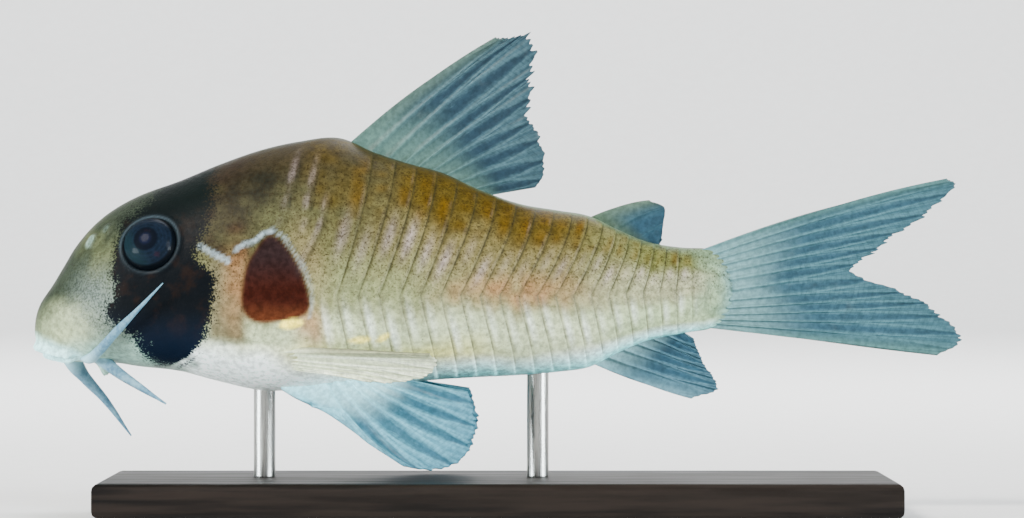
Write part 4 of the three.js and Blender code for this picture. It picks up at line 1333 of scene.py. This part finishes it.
def make_barbel(path, radii):
    """A soft feeler that tapers along a smooth curve."""
    deselect()
    bpy.ops.curve.primitive_nurbs_path_add()
    obj = bpy.context.object
    curve = obj.data
    curve.splines.clear()
    spline = curve.splines.new("BEZIER")
    spline.bezier_points.add(len(path) - 1)
    for point, place, radius in zip(spline.bezier_points, in_metres(path), radii):
        point.co = place
        point.radius = radius
        point.handle_left_type = "AUTO"
        point.handle_right_type = "AUTO"
    curve.dimensions = "3D"
    curve.resolution_u = 14
    curve.bevel_depth = MM
    curve.bevel_resolution = 6
    curve.use_fill_caps = True
    bpy.ops.object.convert(target="MESH")
    obj = bpy.context.object
    recalculate_normals(obj)
    places = vertex_places(obj)
    start = in_metres(path[1])
    way = in_metres(path[-1]) - start
    store(obj, "along", (places - start) @ way / (way @ way))
    shade_smooth(obj)
    return obj


def barbel_skin():
    """Soft feeler skin: milky blue-white, faintly clouded and a little uneven."""
    material, tree = new_material("Soft barbel skin")
    along = add(tree, "Attribute", {}, out="Fac", attribute_name="along")
    fine, broad = speckles(tree, [(0.3, (1, 1, 1)), (1.6, (1, 1, 1))])
    grain = add(tree, "MapRange", {"Value": fine, "From Min": 0.3, "From Max": 0.7}, **EASED)
    cloud = add(tree, "MapRange", {"Value": broad, "From Min": 0.5, "From Max": 0.7, "To Max": 0.5}, **EASED)
    milky = add(tree, "MapRange", {
        "Value": along, "From Min": -0.05, "From Max": 0.3, "To Min": 0.75, "To Max": 0.0}, **EASED)
    colour = add(tree, "Mix", {"Factor": grain, "A": "#466a80", "B": "#658a9a"}, **BLEND)
    colour = laid_over(tree, colour, [(cloud, "#7fa3ad"), (milky, "#a2cdd6")])
    wet(tree, colour, fine, bump_mm=0.05, strength=0.3, roughness=0.45, coat=0.04)
    return material


class CATFISH_OT_barbels(bpy.types.Operator):
    """Make the four barbels"""
    bl_idname = "catfish.barbels"
    bl_label = "Barbels"

    def execute(self, context):
        material = barbel_skin()
        for name, (path, radii) in BARBELS.items():
            finish_piece(make_barbel(path, radii), name + "_skin", material, [name])
        return {"FINISHED"}


# Stand

# Height of the base's top over the underside, how deep a rod's head is sunk, and the bevel of its ends
BASE_TOP = 2.5
ROD_SINK = 0.25
ROD_BEVEL = 0.08


def stained_wood(stain):
    """Satin black-stained ash: open grain lines along the base under a thin lacquer."""
    material, tree = new_material("Black stained ash")
    # Grain lines are about 0.7 mm apart and run along the base
    lines, broad = speckles(tree, [(0.7, (0.06, 1, 1)), (4.0, (0.1, 1, 1))])
    grain = add(tree, "MapRange", {"Value": lines, "From Min": 0.35, "From Max": 0.65}, **EASED)
    cloud = add(tree, "MapRange", {"Value": broad, "From Min": 0.4, "From Max": 0.7, "To Max": 0.5}, **EASED)
    colour = add(tree, "Mix", {"Factor": grain, "A": stain, "B": "#1a1410"}, **BLEND)
    colour = laid_over(tree, colour, [(cloud, "#201914")])
    roughness = add(tree, "MapRange", {
        "Value": lines, "From Min": 0.3, "From Max": 0.7, "To Min": 0.42, "To Max": 0.6}, **EASED)
    normal = add(tree, "Bump", {"Height": lines, "Strength": 0.3, "Distance": 0.1 * MM})
    shader = add(tree, "BsdfPrincipled", {
        "Base Color": colour, "Roughness": roughness, "Normal": normal, "Specular IOR Level": 0.12})
    add(tree, "OutputMaterial", {"Surface": shader})
    return material


def satin_steel():
    """Drawn stainless rod: bright, with fine lines along its length."""
    material, tree = new_material("Satin stainless steel")
    (lines,) = speckles(tree, [(0.12, (1, 1, 0.05))])
    grain = add(tree, "MapRange", {"Value": lines, "From Min": 0.3, "From Max": 0.7}, **EASED)
    colour = add(tree, "Mix", {"Factor": grain, "A": "#8d8d8a", "B": "#b5b5b1"}, **BLEND)
    roughness = add(tree, "MapRange", {
        "Value": lines, "From Min": 0.3, "From Max": 0.7, "To Min": 0.24, "To Max": 0.38}, **EASED)
    shader = add(tree, "BsdfPrincipled", {"Base Color": colour, "Metallic": 1.0, "Roughness": roughness})
    add(tree, "OutputMaterial", {"Surface": shader})
    return material


def make_rod(place, radius):
    """A steel rod from the base's top to just inside the belly, its ends bevelled."""
    foot = BASE_TOP - BELLY_HEIGHT
    head = float(bottom_of(place)) + ROD_SINK
    deselect()
    bpy.ops.mesh.primitive_cylinder_add(vertices=48, radius=1, depth=1)
    obj = bpy.context.object
    unit = vertex_places(obj)
    rod = np.stack([unit[:, 0] * radius + place, unit[:, 1] * radius, mix(foot, head, unit[:, 2] + 0.5)], -1)
    shape_vertices(obj, in_metres(rod))
    apply_modifier(obj, "BEVEL", width=ROD_BEVEL * MM, segments=3, limit_method="ANGLE")
    return obj


class CATFISH_OT_stand(bpy.types.Operator):
    """Finish the base and make the two rods"""
    bl_idname = "catfish.stand"
    bl_label = "Stand"

    def execute(self, context):
        size = context.scene.catfish_stand
        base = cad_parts["stand_base"]
        base.data.materials.clear()
        base.data.materials.append(stained_wood(size.stain))
        steel = satin_steel()
        for name, place in (("front", size.front_rod), ("rear", size.rear_rod)):
            rod = make_rod(place / MM, size.rod_radius / MM)
            finish_piece(rod, "rod_" + name, steel, ["stand_rod_" + name])
        return {"FINISHED"}


# Stage, in metres

# Paper sweep: where it starts before the fish, its length, its half width, where it bends up and how tightly
PAPER_START = -1.2
PAPER_LENGTH = 3.6
PAPER_HALF_WIDTH = 1.6
PAPER_FLAT_END = 0.95
PAPER_RADIUS = 0.3
# Lamps: name, place, where it points, width, watts and tone. Two low ones at the sides light the belly
FISH = (0, 0, 0.02)
WALL = (0, 1.25, 0.12)
LAMPS = [
    ("key", (-0.3, -0.32, 0.4), FISH, 0.22, 5.4, "#fff9f0"),
    ("side", (0.42, -0.32, 0.2), FISH, 0.22, 3, "#f4f8ff"),
    ("low_left", (-0.36, -0.17, 0.012), FISH, 0.16, 4.6, "#eefaff"),
    ("low_right", (0.36, -0.2, 0.012), FISH, 0.16, 4.6, "#eefaff"),
    ("back_top", (0.1, 0.3, 0.4), FISH, 0.3, 1.5, "#ffffff"),
    ("backdrop", (0, 0.4, 0.7), WALL, 0.9, 19, "#ffffff"),
]
ROOM_LIGHT = 0.2


def pale_paper(tone):
    """Matt seamless paper, almost even, with a very faint fibre."""
    material, tree = new_material("Pale grey paper")
    (fibre,) = speckles(tree, [(3.0, (1, 1, 1))])
    faint = add(tree, "MapRange", {"Value": fibre, "From Min": 0.3, "From Max": 0.7, "To Max": 0.12}, **EASED)
    colour = add(tree, "Mix", {"Factor": faint, "A": tone, "B": "#ffffff"}, **BLEND)
    shader = add(tree, "BsdfPrincipled", {"Base Color": colour, "Roughness": 0.95})
    add(tree, "OutputMaterial", {"Surface": shader})
    return material


def make_sweep(tone):
    """Paper that lies flat under the stand and bends up behind it."""
    deselect()
    bpy.ops.mesh.primitive_grid_add(x_subdivisions=2, y_subdivisions=90, size=2)
    sweep = bpy.context.object
    sweep.name = "paper_sweep"
    unit = vertex_places(sweep)
    run = (unit[:, 1] + 1) / 2 * PAPER_LENGTH + PAPER_START
    bend = PAPER_RADIUS * math.pi / 2
    arc = np.clip((run - PAPER_FLAT_END) / bend, 0, 1) * math.pi / 2
    depth = np.where(run < PAPER_FLAT_END, run, PAPER_FLAT_END + PAPER_RADIUS * np.sin(arc))
    rise = PAPER_RADIUS * (1 - np.cos(arc)) + np.maximum(run - PAPER_FLAT_END - bend, 0)
    shape_vertices(sweep, np.stack([unit[:, 0] * PAPER_HALF_WIDTH, depth, rise], -1))
    shade_smooth(sweep)
    sweep.data.materials.append(pale_paper(tone))


def area_light(name, place, target, size, watts, tone):
    light = bpy.data.lights.new(name, "AREA")
    light.shape = "DISK"
    light.size = size
    light.energy = watts
    light.color = linear(tone)[:3]
    lamp = bpy.data.objects.new(name, light)
    lamp.location = place
    lamp.rotation_euler = (Vector(target) - Vector(place)).to_track_quat("-Z", "Y").to_euler()
    bpy.context.scene.collection.objects.link(lamp)


def set_camera(stage):
    """A level camera square to the fish, at the distance where a pixel has its real size."""
    camera = bpy.data.cameras.new("camera")
    camera.lens = stage.lens
    camera.sensor_width = FILM_WIDTH
    camera.clip_start = 0.01
    middle = in_metres((
        (stage.column - SNOUT_COLUMN) * stage.pixel / MM, 0, (BELLY_ROW - stage.row) * stage.pixel / MM))
    eye = bpy.data.objects.new("camera", camera)
    eye.location = (middle[0], -stage.lens / FILM_WIDTH * PHOTO_WIDTH * stage.pixel, middle[2])
    eye.rotation_euler = (math.pi / 2, 0, 0)
    bpy.context.scene.collection.objects.link(eye)
    bpy.context.scene.camera = eye


class CATFISH_OT_stage(bpy.types.Operator):
    """Lay the paper, light the fish and set the camera"""
    bl_idname = "catfish.stage"
    bl_label = "Stage"

    def execute(self, context):
        stage = context.scene.catfish_stage
        make_sweep(stage.paper)
        for lamp in LAMPS:
            area_light(*lamp)
        world = bpy.data.worlds.new("soft_room")
        world.use_nodes = True
        background = world.node_tree.nodes["Background"]
        background.inputs["Color"].default_value = stage.room
        background.inputs["Strength"].default_value = ROOM_LIGHT
        context.scene.world = world
        set_camera(stage)
        return {"FINISHED"}


class CATFISH_PT_panel(bpy.types.Panel):
    """Lists the pieces to make and what may be changed on them"""
    bl_idname = "CATFISH_PT_panel"
    bl_label = "Catfish"
    bl_space_type = "VIEW_3D"
    bl_region_type = "UI"
    bl_category = "Catfish"

    def draw(self, context):
        layout = self.layout
        for operator in OPERATORS:
            layout.operator(operator.bl_idname)
        for group in GROUPS:
            settings = getattr(context.scene, group)
            for key in settings.__annotations__:
                layout.prop(settings, key)


GROUPS = {
    "catfish_skin": CatfishSkin,
    "catfish_fins": CatfishFins,
    "catfish_stand": CatfishStand,
    "catfish_stage": CatfishStage,
}
OPERATORS = [
    CATFISH_OT_skin, CATFISH_OT_eyes, CATFISH_OT_fins, CATFISH_OT_barbels, CATFISH_OT_stand, CATFISH_OT_stage,
]
CLASSES = [*GROUPS.values(), *OPERATORS, CATFISH_PT_panel]


def register():
    for cls in CLASSES:
        bpy.utils.register_class(cls)
    for name, group in GROUPS.items():
        setattr(bpy.types.Scene, name, bpy.props.PointerProperty(type=group))


def unregister():
    for name in GROUPS:
        delattr(bpy.types.Scene, name)
    for cls in reversed(CLASSES):
        bpy.utils.unregister_class(cls)


def main():
    register()
    bpy.ops.catfish.skin()
    bpy.ops.catfish.eyes()
    bpy.ops.catfish.fins()
    bpy.ops.catfish.barbels()
    bpy.ops.catfish.stand()
    bpy.ops.catfish.stage()


if __name__ == "__main__":
    main()
